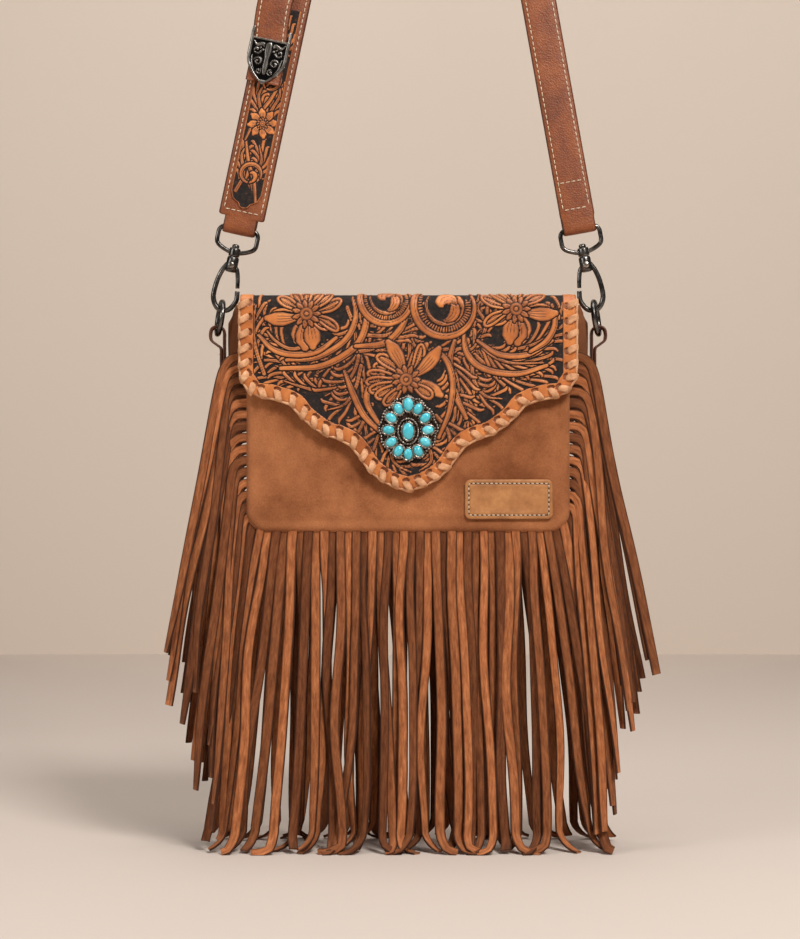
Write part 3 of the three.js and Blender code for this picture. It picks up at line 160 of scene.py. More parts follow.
def grid_faces(rows, columns, start=0, flip=False):
    first = np.arange(rows * columns).reshape(rows, columns) + start
    quads = np.stack([first[:-1, :-1], first[:-1, 1:], first[1:, 1:], first[1:, :-1]], -1).reshape(-1, 4)
    return quads[:, ::-1] if flip else quads


def slab_parts(face, back):
    """Two sheets of the same count, face and back, closed round their rim."""
    rows, columns = face.shape[:2]
    count = rows * columns
    points = np.concatenate([face.reshape(-1, 3), back.reshape(-1, 3)])
    order = np.arange(count).reshape(rows, columns)
    rim = np.concatenate([order[0, :-1], order[:-1, -1], order[-1, :0:-1], order[:0:-1, 0]])
    after = np.roll(rim, -1)
    sides = np.stack([rim + count, after + count, after, rim], -1)
    faces = np.concatenate([grid_faces(rows, columns), grid_faces(rows, columns, count, True), sides])
    return points, faces


def ripple(x, y, scale, seed):
    """Slow, repeatable waves from -1 to 1."""
    total = np.zeros(np.broadcast(x, y).shape)
    for k in range(5):
        turn = seed * 1.7 + k * 2.4
        along = x * math.cos(turn) + y * math.sin(turn)
        total = total + np.sin(along * (1 + 0.45 * k) / scale + turn * 3)
    return total / 5


def new_material(name):
    material = bpy.data.materials.new(name)
    material.use_nodes = True
    nodes = material.node_tree.nodes
    where = nodes.new("ShaderNodeTexCoord").outputs["Object"]
    return material, nodes, material.node_tree.links, nodes["Principled BSDF"], where


def noise_node(nodes, links, where, scale, detail=4.0, rough=0.6):
    noise = nodes.new("ShaderNodeTexNoise")
    noise.inputs["Scale"].default_value = scale
    noise.inputs["Detail"].default_value = detail
    noise.inputs["Roughness"].default_value = rough
    links.new(where, noise.inputs["Vector"])
    return noise.outputs["Fac"]


def ramp_node(nodes, links, source, stops):
    ramp = nodes.new("ShaderNodeValToRGB")
    while len(ramp.color_ramp.elements) < len(stops):
        ramp.color_ramp.elements.new(0.5)
    for element, (place, colour) in zip(ramp.color_ramp.elements, stops):
        element.position = place
        element.color = (*colour, 1)
    links.new(source, ramp.inputs["Fac"])
    return ramp.outputs["Color"]


def mix_colour(nodes, links, share, first, second, way="MIX"):
    mix = nodes.new("ShaderNodeMix")
    mix.data_type = "RGBA"
    mix.blend_type = way
    for socket, value in (("Factor", share), ("A", first), ("B", second)):
        target = next(s for s in mix.inputs
                      if s.name == socket and (s.type == "RGBA" or socket == "Factor"))
        if hasattr(value, "is_linked"):
            links.new(value, target)
        elif socket == "Factor":
            target.default_value = value
        else:
            target.default_value = (*value, 1)
    return next(s for s in mix.outputs if s.type == "RGBA")


def add_bump(nodes, links, shader, height, depth, strength=1.0):
    bump = nodes.new("ShaderNodeBump")
    bump.inputs["Distance"].default_value = depth
    bump.inputs["Strength"].default_value = strength
    links.new(height, bump.inputs["Height"])
    if shader.inputs["Normal"].is_linked:
        links.new(shader.inputs["Normal"].links[0].from_socket, bump.inputs["Normal"])
    links.new(bump.outputs["Normal"], shader.inputs["Normal"])


def suede(name, light, dark):
    material, nodes, links, shader, where = new_material(name)
    broad = noise_node(nodes, links, where, 22, 5, 0.62)
    colour = ramp_node(nodes, links, broad, [(0.3, dark), (0.68, light)])
    fine = noise_node(nodes, links, where, 900, 3, 0.7)
    speck = ramp_node(nodes, links, fine, [(0.25, (0.78, 0.76, 0.74)), (0.75, (1.16, 1.16, 1.18))])
    links.new(mix_colour(nodes, links, 1.0, colour, speck, "MULTIPLY"), shader.inputs["Base Color"])
    shader.inputs["Roughness"].default_value = 0.95
    shader.inputs["Specular IOR Level"].default_value = 0.15
    shader.inputs["Sheen Weight"].default_value = 0.1
    shader.inputs["Sheen Roughness"].default_value = 0.6
    shader.inputs["Sheen Tint"].default_value = (1.0, 0.72, 0.5, 1)
    add_bump(nodes, links, shader, fine, 0.00035, 0.7)
    add_bump(nodes, links, shader, broad, 0.0012, 0.35)
    return material


panel_suede = suede("panel_suede", SUEDE_LIGHT, SUEDE_DARK)


def suede_panel(name, seam_y, outward, high, full, seed):
    """A panel whose face swells outward from the seam; outward is -1 at the front, 1 at the back."""
    columns, rows = 120, 88
    half_x = HALF_WIDTH
    centre_z = (BAG_LOW + high) / 2
    half_z = (high - BAG_LOW) / 2
    x, z = np.meshgrid(np.linspace(-half_x, half_x, columns), np.linspace(-half_z, half_z, rows))
    past_x = np.abs(x) - (half_x - PANEL_CORNER)
    past_z = -z - (half_z - PANEL_CORNER)
    in_corner = (past_x > 0) & (past_z > 0)
    reach = np.hypot(np.maximum(past_x, 1e-9), np.maximum(past_z, 1e-9))
    most = np.maximum(past_x, past_z)
    square_to_round = np.where(in_corner, most / reach, 1.0)
    x = np.where(in_corner, np.sign(x) * (half_x - PANEL_CORNER + past_x * square_to_round), x)
    z = np.where(in_corner, -(half_z - PANEL_CORNER + past_z * square_to_round), z)
    past_x = np.abs(x) - (half_x - PANEL_CORNER)
    past_z = -z - (half_z - PANEL_CORNER)
    corner_inset = PANEL_CORNER - np.hypot(np.maximum(past_x, 0), np.maximum(past_z, 0))
    inset = np.where((past_x > 0) & (past_z > 0), corner_inset, np.minimum(half_x - np.abs(x), z + half_z))
    inset = np.clip(inset, 0, None)
    roll = np.clip(1 - inset / PANEL_ROLL, 0, 1)
    swell = full * np.sqrt(np.clip(1 - roll ** 2, 0, 1))
    dip = SEAM_DIP * np.exp(-((inset - 8.5 * MM) / (2.2 * MM)) ** 2)
    wave = 0.35 * MM * ripple(x, z, 0.02, seed) * np.clip(inset / (12 * MM), 0, 1)
    y = seam_y + outward * (swell - dip + wave)
    face = np.stack([x + MIDDLE_X, y, z + centre_z], -1)
    back = face.copy()
    back[..., 1] = seam_y - outward * 0.2 * MM
    if outward > 0:
        face, back = face[:, ::-1], back[:, ::-1]
    points, faces = slab_parts(face, back)
    return add_mesh(name, points, faces, panel_suede, "bag", (name,), "suede")


suede_panel("front_panel", front_high.y, -1, front_high.z, FRONT_SWELL, 1.0)
suede_panel("back_panel", back_low.y, 1, back_high.z, BACK_SWELL, 4.0)


# Gusset: one strip of the same suede down a side, under the bottom and up the other side, coloured about
# half as bright as the panels as painted shade on the bag's sides. It swells out at the top and folds in a
# little at its middle; the mouth is hemmed with a row of pale stitches.
gusset_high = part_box("gusset")[1]
GUSSET_HALF = gusset_high.y
GUSSET_SWELL = 16 * MM
GUSSET_CORNER = 14 * MM
GUSSET_THICK = 2.2 * MM
GUSSET_IN = 2.5 * MM
# Painted shade: the gusset's suede is coloured about half as bright as the panels', for the bag's shaded
# sides.
shaded_gusset_suede = suede("shaded_gusset_suede", (0.24, 0.082, 0.03), (0.115, 0.036, 0.013))


def unit(arrows):
    return arrows / np.linalg.norm(arrows, axis=1)[:, None]


def gusset_line():
    """Points, and the directions out from the bag, down the left side, across and up the right."""
    edge, low, high = HALF_WIDTH - GUSSET_IN, BAG_LOW + GUSSET_IN, gusset_high.z
    side = np.linspace(high, low + GUSSET_CORNER, 60)
    left = np.stack([np.full_like(side, -edge), side], -1)
    turn = np.linspace(math.pi, 1.5 * math.pi, 12)[1:-1]
    round_left = np.stack([-edge + GUSSET_CORNER + GUSSET_CORNER * np.cos(turn),
                           low + GUSSET_CORNER + GUSSET_CORNER * np.sin(turn)], -1)
    across = np.linspace(-edge + GUSSET_CORNER, edge - GUSSET_CORNER, 40)
    bottom = np.stack([across, np.full_like(across, low)], -1)
    half = np.concatenate([left, round_left])
    line = np.concatenate([half, bottom, half[::-1] * (-1, 1)])
    tangent = unit(np.gradient(line, axis=0))
    return line, np.stack([tangent[:, 1], -tangent[:, 0]], -1)


line, out = gusset_line()
across = np.linspace(-1, 1, 33)
rise = np.clip((line[:, 1] - (back_high.z - 110 * MM)) / (55 * MM), 0, 1)
rise = rise * rise * (3 - 2 * rise)
mouth = np.clip((line[:, 1] - (back_high.z - 16 * MM)) / (16 * MM), 0, 1)
belly = (1 - across ** 2)[None] * (rise * (1 - 0.45 * mouth))[:, None]
crease = np.exp(-(across / 0.16) ** 2)[None] * (rise * mouth)[:, None]
wave = ripple(across[None] * 0.02 + 0 * rise[:, None], line[:, 1:2] + 0 * across[None], 0.012, 2.0)
swell = GUSSET_SWELL * belly - 4 * MM * crease + 0.4 * MM * wave * belly
hem = 0.7 * MM * (line[:, 1] > gusset_high.z - 7 * MM)[:, None]


def gusset_skin(away):
    reach = swell + away
    return np.stack([line[:, 0:1] + out[:, 0:1] * reach + MIDDLE_X, across[None] * GUSSET_HALF + 0 * reach,
                     line[:, 1:2] + out[:, 1:2] * reach], -1)


points, faces = slab_parts(gusset_skin(-GUSSET_THICK / 2 - hem), gusset_skin(GUSSET_THICK / 2 + hem))
add_mesh("gusset", points, faces, shaded_gusset_suede, "bag", ("gusset",), "suede")


# Stitches: pale waxed thread. Each stitch is a short length that rises from its hole and sinks into
# the next, here in two rows down each side of the gusset from its mouth.
GUSSET_STITCH = (3.6 * MM, 2.3 * MM, 0.35 * MM)


def mottled(name, mottle, stops, rough, grain=None, depth=0.0003, strength=0.5):
    """One noise coloured by stops, a finer one as grain; each noise is (scale, detail, roughness)."""
    material, nodes, links, shader, where = new_material(name)
    shade = ramp_node(nodes, links, noise_node(nodes, links, where, *mottle), stops)
    links.new(shade, shader.inputs["Base Color"])
    shader.inputs["Roughness"].default_value = rough
    if grain:
        add_bump(nodes, links, shader, noise_node(nodes, links, where, *grain), depth, strength)
    return material


thread_pale = mottled("thread_pale", (300,), [(0.3, (0.5, 0.37, 0.24)), (0.7, (0.78, 0.62, 0.44))], 0.6)


def ring_faces(count, sides, turned=False):
    """Faces between rings of points that follow one another, and the numbers of the two end rings."""
    order = np.arange(count * sides).reshape(count, sides)
    after = np.roll(order, -1, 1)
    corners = [order[:-1], after[:-1], after[1:], order[1:]]
    if turned:
        corners = [corners[k] for k in (0, 3, 2, 1)]
    faces = [tuple(face) for face in np.stack(corners, -1).reshape(-1, 4)]
    return faces, tuple(order[0]), tuple(order[-1])


def tube_parts(path, radius, sides=8, lie=(0, 1, 0), closed=False):
    """A round tube along a path; radius is one number or one per point."""
    path = np.asarray(path, float)
    count = len(path)
    if closed:
        tangent = unit(np.roll(path, -1, 0) - np.roll(path, 1, 0))
    else:
        tangent = unit(np.gradient(path, axis=0))
    side = unit(np.cross(tangent, np.broadcast_to(np.asarray(lie, float), tangent.shape)))
    up = np.cross(side, tangent)
    turn = (np.arange(sides) / sides * 2 * math.pi)[None, :, None]
    radius = np.broadcast_to(np.asarray(radius, float), (count,))[:, None, None]
    ring = np.cos(turn) * side[:, None] + np.sin(turn) * up[:, None]
    points = (path[:, None] + ring * radius).reshape(-1, 3)
    faces, first, last = ring_faces(count, sides, True)
    if closed:
        faces += list(zip(last, first, first[1:] + first[:1], last[1:] + last[:1]))
    else:
        faces += [first, last[::-1]]
    return points, faces


def gather(parts):
    """Several lots of points and faces as one."""
    points, faces, start = [], [], 0
    for some_points, some_faces in parts:
        points.append(some_points)
        faces += [tuple(int(k) + start for k in face) for face in some_faces]
        start += len(some_points)
    return np.concatenate(points), faces


def distances(path):
    """How far each point lies along a path from its start."""
    return np.concatenate([[0], np.cumsum(np.linalg.norm(np.diff(path, axis=0), axis=1))])


def follow(at, along, values):
    """The values found at some distances along a line whose own points lie at along."""
    return np.stack([np.interp(at, along, values[:, k]) for k in range(values.shape[1])], -1)


def stitch_row(path, outward, pitch, length, radius):
    """Stitches along a path of points on the surface, each bowed up from its two holes."""
    path = np.asarray(path, float)
    outward = np.broadcast_to(np.asarray(outward, float), path.shape)
    along = distances(path)
    share = np.linspace(0, 1, 7)
    bow = radius * (1.1 * np.sin(share * math.pi) ** 0.6 - 0.35)
    girth = radius * (0.75 + 0.25 * np.sin(share * math.pi))
    parts = []
    for start in np.arange(pitch * 0.3, along[-1] - length, pitch):
        spot = follow(start + share * length, along, path)
        lift = follow(start + share * length, along, outward)
        parts.append(tube_parts(spot + lift * bow[:, None], girth, 6, lie=lift[3]))
    return parts


def add_stitches(name, parts):
    points, faces = gather(parts)
    add_mesh(name, points, faces, thread_pale, "bag")


parts = []
heights = np.linspace(gusset_high.z - 2 * MM, back_high.z - 60 * MM, 30)
for side in (-1, 1):
    for place in (-0.86, 0.86):
        bulge = [GUSSET_SWELL * (1 - place ** 2) * (0.9 if z > back_high.z - 55 * MM else 0.3)
                 for z in heights]
        skin = HALF_WIDTH - GUSSET_IN + GUSSET_THICK / 2 + 0.6 * MM
        edge_row = [(MIDDLE_X + side * (skin + more), place * GUSSET_HALF, z)
                    for more, z in zip(bulge, heights)]
        parts += stitch_row(edge_row, (side, 0, 0), *GUSSET_STITCH)
add_stitches("gusset_stitches", parts)


# Fringe: one piece of thin suede to each seam, uncut where it is caught under the panel's edge and cut
# below that into narrow strips. They leave the side seams outward, fall over each other and hang; the
# lowest reach the floor and curl there. Each strip's edges are coloured nearly black: partly the darker
# cut edge, partly painted shade in the gaps between the strips.
FRINGE_THICK = 1.4 * MM
STRIP_WIDE = 6.9 * MM
STRIP_LONG = 243 * MM
CURL = 16 * MM
DEEPEST = 33 * MM


def point_mark(nodes, links, name):
    """What a mesh carries at its points: the mark itself, and the three numbers in it."""
    mark = nodes.new("ShaderNodeAttribute")
    mark.attribute_name = name
    split = nodes.new("ShaderNodeSeparateXYZ")
    links.new(mark.outputs["Vector"], split.inputs["Vector"])
    return mark.outputs, split.outputs


def math_node(nodes, links, operation, source, value=0.0):
    node = nodes.new("ShaderNodeMath")
    node.operation = operation
    links.new(source, node.inputs[0])
    node.inputs[1].default_value = value
    return node.outputs["Value"]


def share_node(nodes, links, source, stops):
    """A share from 0 to 1 through a ramp of greys."""
    to_share = nodes.new("ShaderNodeRGBToBW")
    greys = ramp_node(nodes, links, source, [(place, (grey,) * 3) for place, grey in stops])
    links.new(greys, to_share.inputs["Color"])
    return to_share.outputs["Val"]


def set_marks(piece, name, kind, field, marks):
    mark = piece.data.attributes.new(name, kind, "POINT")
    mark.data.foreach_set(field, np.asarray(marks, np.float32).ravel())


fringe_suede, nodes, links, shader, where = new_material("fringe_suede")
mark, split = point_mark(nodes, links, "strip")
stretch = nodes.new("ShaderNodeVectorMath")
stretch.operation = "MULTIPLY"
links.new(mark["Vector"], stretch.inputs[0])
stretch.inputs[1].default_value = (1.3, 14.0, 40.0)
streak = noise_node(nodes, links, stretch.outputs["Vector"], 1.6, 5, 0.65)
browns = [(0.3, (0.15, 0.046, 0.016)), (0.5, (0.27, 0.09, 0.032)), (0.72, (0.42, 0.155, 0.06))]
tint = ramp_node(nodes, links, split["Z"], [(0.0, (0.5, 0.45, 0.42)), (1.0, (1.5, 1.46, 1.4))])
toned = mix_colour(nodes, links, 1.0, ramp_node(nodes, links, streak, browns), tint, "MULTIPLY")
# Painted shade: both edges of each strip go nearly black, partly the darker cut edge and partly shade in
# the gaps between the strips.
rim = share_node(nodes, links, math_node(nodes, links, "ABSOLUTE", split["X"]), [(0.66, 0), (0.95, 1)])
links.new(mix_colour(nodes, links, rim, toned, (0.05, 0.015, 0.006)), shader.inputs["Base Color"])
fine = noise_node(nodes, links, where, 1300, 2, 0.6)
shader.inputs["Roughness"].default_value = 0.88
shader.inputs["Specular IOR Level"].default_value = 0.2
shader.inputs["Sheen Weight"].default_value = 0.06
shader.inputs["Sheen Tint"].default_value = (1.0, 0.75, 0.55, 1)
add_bump(nodes, links, shader, fine, 0.0003, 0.6)
add_bump(nodes, links, shader, streak, 0.0003, 0.4)


def fall(root, heading, drape, lean, length, sway, phase, splay):
    """The middle line of a strip from its root. It starts along heading in x and z, turns down over
    the drape, leans out by lean in x and y, sways slowly and bends along the floor where it meets it."""
    steps = 54
    step = length / steps
    spot = np.array(root, float)
    line = [spot.copy()]
    for k in range(steps):
        s = (k + 0.5) * step
        settled = 1 - math.exp(-(s / drape) ** 2)
        wave_x = sway[0] * math.sin(s / 0.034 + phase) + 0.6 * sway[0] * math.sin(s / 0.019 + 2.3 * phase)
        wave_y = sway[1] * math.sin(s / 0.04 + 1.7 * phase)
        way = np.array([heading[0] * (1 - settled) + (lean[0] + wave_x) * settled,
                        lean[1] * (1 - abs(heading[0])) + (lean[1] + wave_y) * settled,
                        heading[1] * (1 - settled) - settled])
        way[1] *= min(max((DEEPEST - abs(spot[1])) / (8 * MM), 0), 1) if way[1] * spot[1] > 0 else 1
        way /= np.linalg.norm(way)
        height = spot[2] - FLOOR_Z - 0.0012
        if height < CURL:
            down = min(-way[2], math.sqrt(max(height, 0) / CURL))
            level = math.sqrt(1 - down * down)
            bend = 1 - height / CURL
            flat_way = way[:2] * (1 - bend) + np.array(splay) * bend
            flat_way /= max(np.linalg.norm(flat_way), 1e-6)
            if abs(spot[1]) > DEEPEST and flat_way[1] * spot[1] > 0:
                flat_way = np.array([math.copysign(1, flat_way[0]), 0])
            way = np.array([flat_way[0] * level, flat_way[1] * level, -down])
        spot = spot + way * step
        line.append(spot.copy())
    return np.array(line)


def strip_parts(line, turn, cup, width, seed):
    """A flat strip with slightly raised edges along a line; turn is its twist along the way."""
    count = len(line)
    tangent = unit(np.gradient(line, axis=0))
    side = np.empty_like(tangent)
    carried = np.cross(tangent[0], (0, 1, 0))
    for k in range(count):
        carried = carried - tangent[k] * (carried @ tangent[k])
        carried = carried / np.linalg.norm(carried)
        side[k] = carried
    face = np.cross(side, tangent)
    turned_side = side * np.cos(turn)[:, None] + face * np.sin(turn)[:, None]
    turned_face = -side * np.sin(turn)[:, None] + face * np.cos(turn)[:, None]
    across = np.array([-1, -0.93, -0.55, 0, 0.55, 0.93, 1])
    raised = cup * across ** 2
    thick = np.array([0.3, 0.5, 0.5, 0.5, 0.5, 0.5, 0.3]) * FRINGE_THICK
    ring_side = np.concatenate([across, across[::-1]])
    ring_face = np.concatenate([raised + thick, (raised - thick)[::-1]])
    points = (line[:, None] + turned_side[:, None] * ring_side[None, :, None] * width / 2
              + turned_face[:, None] * ring_face[None, :, None])
    sides = len(ring_side)
    faces, first, last = ring_faces(count, sides, True)
    tint = 0.5 + 0.5 * math.sin(seed * 12.9898)
    marks = np.stack(np.broadcast_arrays(ring_side, np.linspace(0, 1, count)[:, None], tint), -1)
    return points.reshape(-1, 3), faces + [first[::-1], last], marks.reshape(-1, 3)


def fringe(name, seam_y, toward, seed):
    """toward is -1 for the fringe in the front seam and 1 for the one in the back seam."""
    chance = np.random.default_rng(seed)
    strips = []

    def lie_flat(splay):
        return -toward * max(min(math.atan2(splay[0], abs(splay[1])), 1.25), -1.25)

    edge = HALF_WIDTH - 3 * MM
    count = 40
    for k in range(count):
        x = (k - (count - 1) / 2) * (2 * edge - 4 * MM) / (count - 1)
        out_share = x / edge
        over = k % 3
        rise = max(abs(x) - (HALF_WIDTH - PANEL_CORNER), 0)
        low = BAG_LOW + 4 * MM + PANEL_CORNER - math.sqrt(max(PANEL_CORNER ** 2 - rise ** 2, 0))
        lean = (0.035 * out_share + 0.115 * out_share ** 5 + chance.normal(0, 0.024),
                toward * (0.004 + 0.012 * over))
        splay = (0.75 * out_share + chance.normal(0, 0.5), toward * abs(chance.normal(0.55, 0.35)))
        root = (MIDDLE_X + x, seam_y + toward * (k % 2) * 1.3 * MM, low)
        middle = fall(root, (0.25 * out_share ** 3, -1), 16 * MM, lean,
                      STRIP_LONG * chance.uniform(0.965, 1.03), (chance.uniform(0.02, 0.075), 0.015),
                      chance.uniform(0, 6.3), splay)
        strips.append((middle, chance.uniform(-0.6, 0.6), lie_flat(splay)))
    levels = np.linspace(BAG_LOW + 11 * MM, BAG_LOW + 127 * MM, 15)
    for side in (-1, 1):
        for k, level in enumerate(levels):
            share = k / (len(levels) - 1)
            start_x = MIDDLE_X + side * (edge + 1 * MM)
            reach = 0.2 + 0.75 * min(share * 2.2, 1)
            lean = (side * (0.06 + 0.12 * share ** 0.8 + chance.normal(0, 0.022)),
                    toward * (0.012 + 0.022 * (k % 3) + 0.016 * share))
            splay = (side * 0.9 + chance.normal(0, 0.3), toward * abs(chance.normal(0.4, 0.3)))
            length = STRIP_LONG * (chance.uniform(0.94, 1.03) - (0.24 if k == 9 else 0.0))
            middle = fall((start_x, seam_y, level), (side * reach, 0.25 * share - 0.1),
                          (10 + 7 * share) * MM, lean, length,
                          (chance.uniform(0.02, 0.05), 0.012), chance.uniform(0, 6.3), splay)
            strips.append((middle, chance.uniform(-0.6, 0.6), lie_flat(splay)))
    parts, marks = [], []
    for k, (middle, first, last) in enumerate(strips):
        share = np.linspace(0, 1, len(middle))
        turn = (first * (1 - share ** 3) + last * share ** 3) * np.clip(share / 0.15, 0, 1)
        cup = FRINGE_THICK * (0.15 + 0.3 * chance.uniform())
        width = STRIP_WIDE * chance.uniform(0.9, 1.12) * np.ones(len(middle))[:, None, None]
        points, faces, mark = strip_parts(middle, turn, cup, width, seed + k * 1.31)
        points[:, 2] = np.maximum(points[:, 2], FLOOR_Z + 0.0003)
        parts.append((points, faces))
        marks.append(mark)
    points, faces = gather(parts)
    piece = add_mesh(name, points, faces, fringe_suede, "bag", (name,), "fringe")
    set_marks(piece, "strip", "FLOAT_VECTOR", "vector", np.concatenate(marks))


fringe("fringe_front", front_high.y + 0.5 * MM, -1, 11)
fringe("fringe_back", back_low.y - 0.5 * MM, 1, 23)


# Flap: vegetable-tanned leather, bent over the top of the bag and hinged down its back. The front is
# carved with flowers, scrolls and leaves inside a plain margin, and the ground is beaten down and
# stained nearly black. Its whole edge is punched for the lacing.
flap_low, flap_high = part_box("flap")
FLAP_HALF = (flap_high.x - flap_low.x) / 2
FLAP_THICK = 3 * MM
FLAP_FACE = flap_low.y + 0.6 * MM
FLAP_TOP = flap_high.z
FLAP_SIDE = FLAP_TOP - 60 * MM
FLAP_DROP = 82 * MM
FLAP_BEND = 9 * MM
BACK_BEND = 5 * MM
MARGIN = 9.5 * MM
EDGE_SHARES = [(1, 0), (0.97, 0.07), (0.92, 0.16), (0.8, 0.19), (0.69, 0.25), (0.62, 0.37),
               (0.5, 0.5), (0.4, 0.55), (0.32, 0.63), (0.23, 0.82), (0.12, 0.94), (0, 1)]


def smooth_line(knots, steps=24):
    """A smooth curve through the knots."""
    knots = np.asarray(knots, float)
    wide = np.concatenate([[2 * knots[0] - knots[1]], knots, [2 * knots[-1] - knots[-2]]])
    t = np.linspace(0, 1, steps, endpoint=False)[:, None]
    runs = []
    for k in range(len(knots) - 1):
        a, b, c, d = wide[k:k + 4]
        runs.append(0.5 * (2 * b + (c - a) * t + (2 * a - 5 * b + 4 * c - d) * t ** 2
                           + (3 * b - a - 3 * c + d) * t ** 3))
    return np.concatenate(runs + [knots[-1:]])


right_edge = smooth_line([(x * FLAP_HALF, FLAP_SIDE - drop * FLAP_DROP) for x, drop in EDGE_SHARES])
flap_edge = np.concatenate([right_edge, right_edge[-2::-1] * (-1, 1)])


def lower_edge(x):
    """How low the flap comes at x from its middle."""
    order = np.argsort(flap_edge[:, 0], kind="stable")
    return np.interp(x, flap_edge[order, 0], flap_edge[order, 1])


def distance_to(points, line, block=4000):
    """The distance in the plane from each point to a line of short lengths."""
    nearest = np.full(len(points), 1e9)
    share = np.zeros(len(points))
    a, b = line[:-1], line[1:]
    d = b - a
    long = np.maximum((d ** 2).sum(1), 1e-18)
    for start in range(0, len(points), block):
        p = points[start:start + block, None]
        t = np.clip(((p - a) * d).sum(-1) / long, 0, 1)
        gap = np.hypot(*np.moveaxis(p - a - d * t[..., None], -1, 0))
        best = gap.argmin(1)
        nearest[start:start + block] = gap.min(1)
        share[start:start + block] = (best + t[np.arange(len(best)), best]) / len(a)
    return nearest, share


def lace_places(pitch):
    """Where the lace goes round the flap's edge: places, directions out of the edge and along it."""
    top = FLAP_TOP - 2 * MM
    edge = np.concatenate([[(FLAP_HALF, top)], flap_edge, [(-FLAP_HALF, top)]])
    along = distances(edge)
    count = int(along[-1] / pitch)
    at = (np.arange(count) + 0.5) * along[-1] / count
    spot = follow(at, along, edge)
    ahead = unit(follow(at + 3 * MM, along, edge) - follow(at - 3 * MM, along, edge))
    return spot, np.stack([-ahead[:, 1], ahead[:, 0]], -1), ahead


LACE_PITCH = 10.6 * MM
LACE_IN = 6.3 * MM
LACE_LEAN = 1.5 * MM
lace_spot, lace_out, lace_ahead = lace_places(LACE_PITCH)


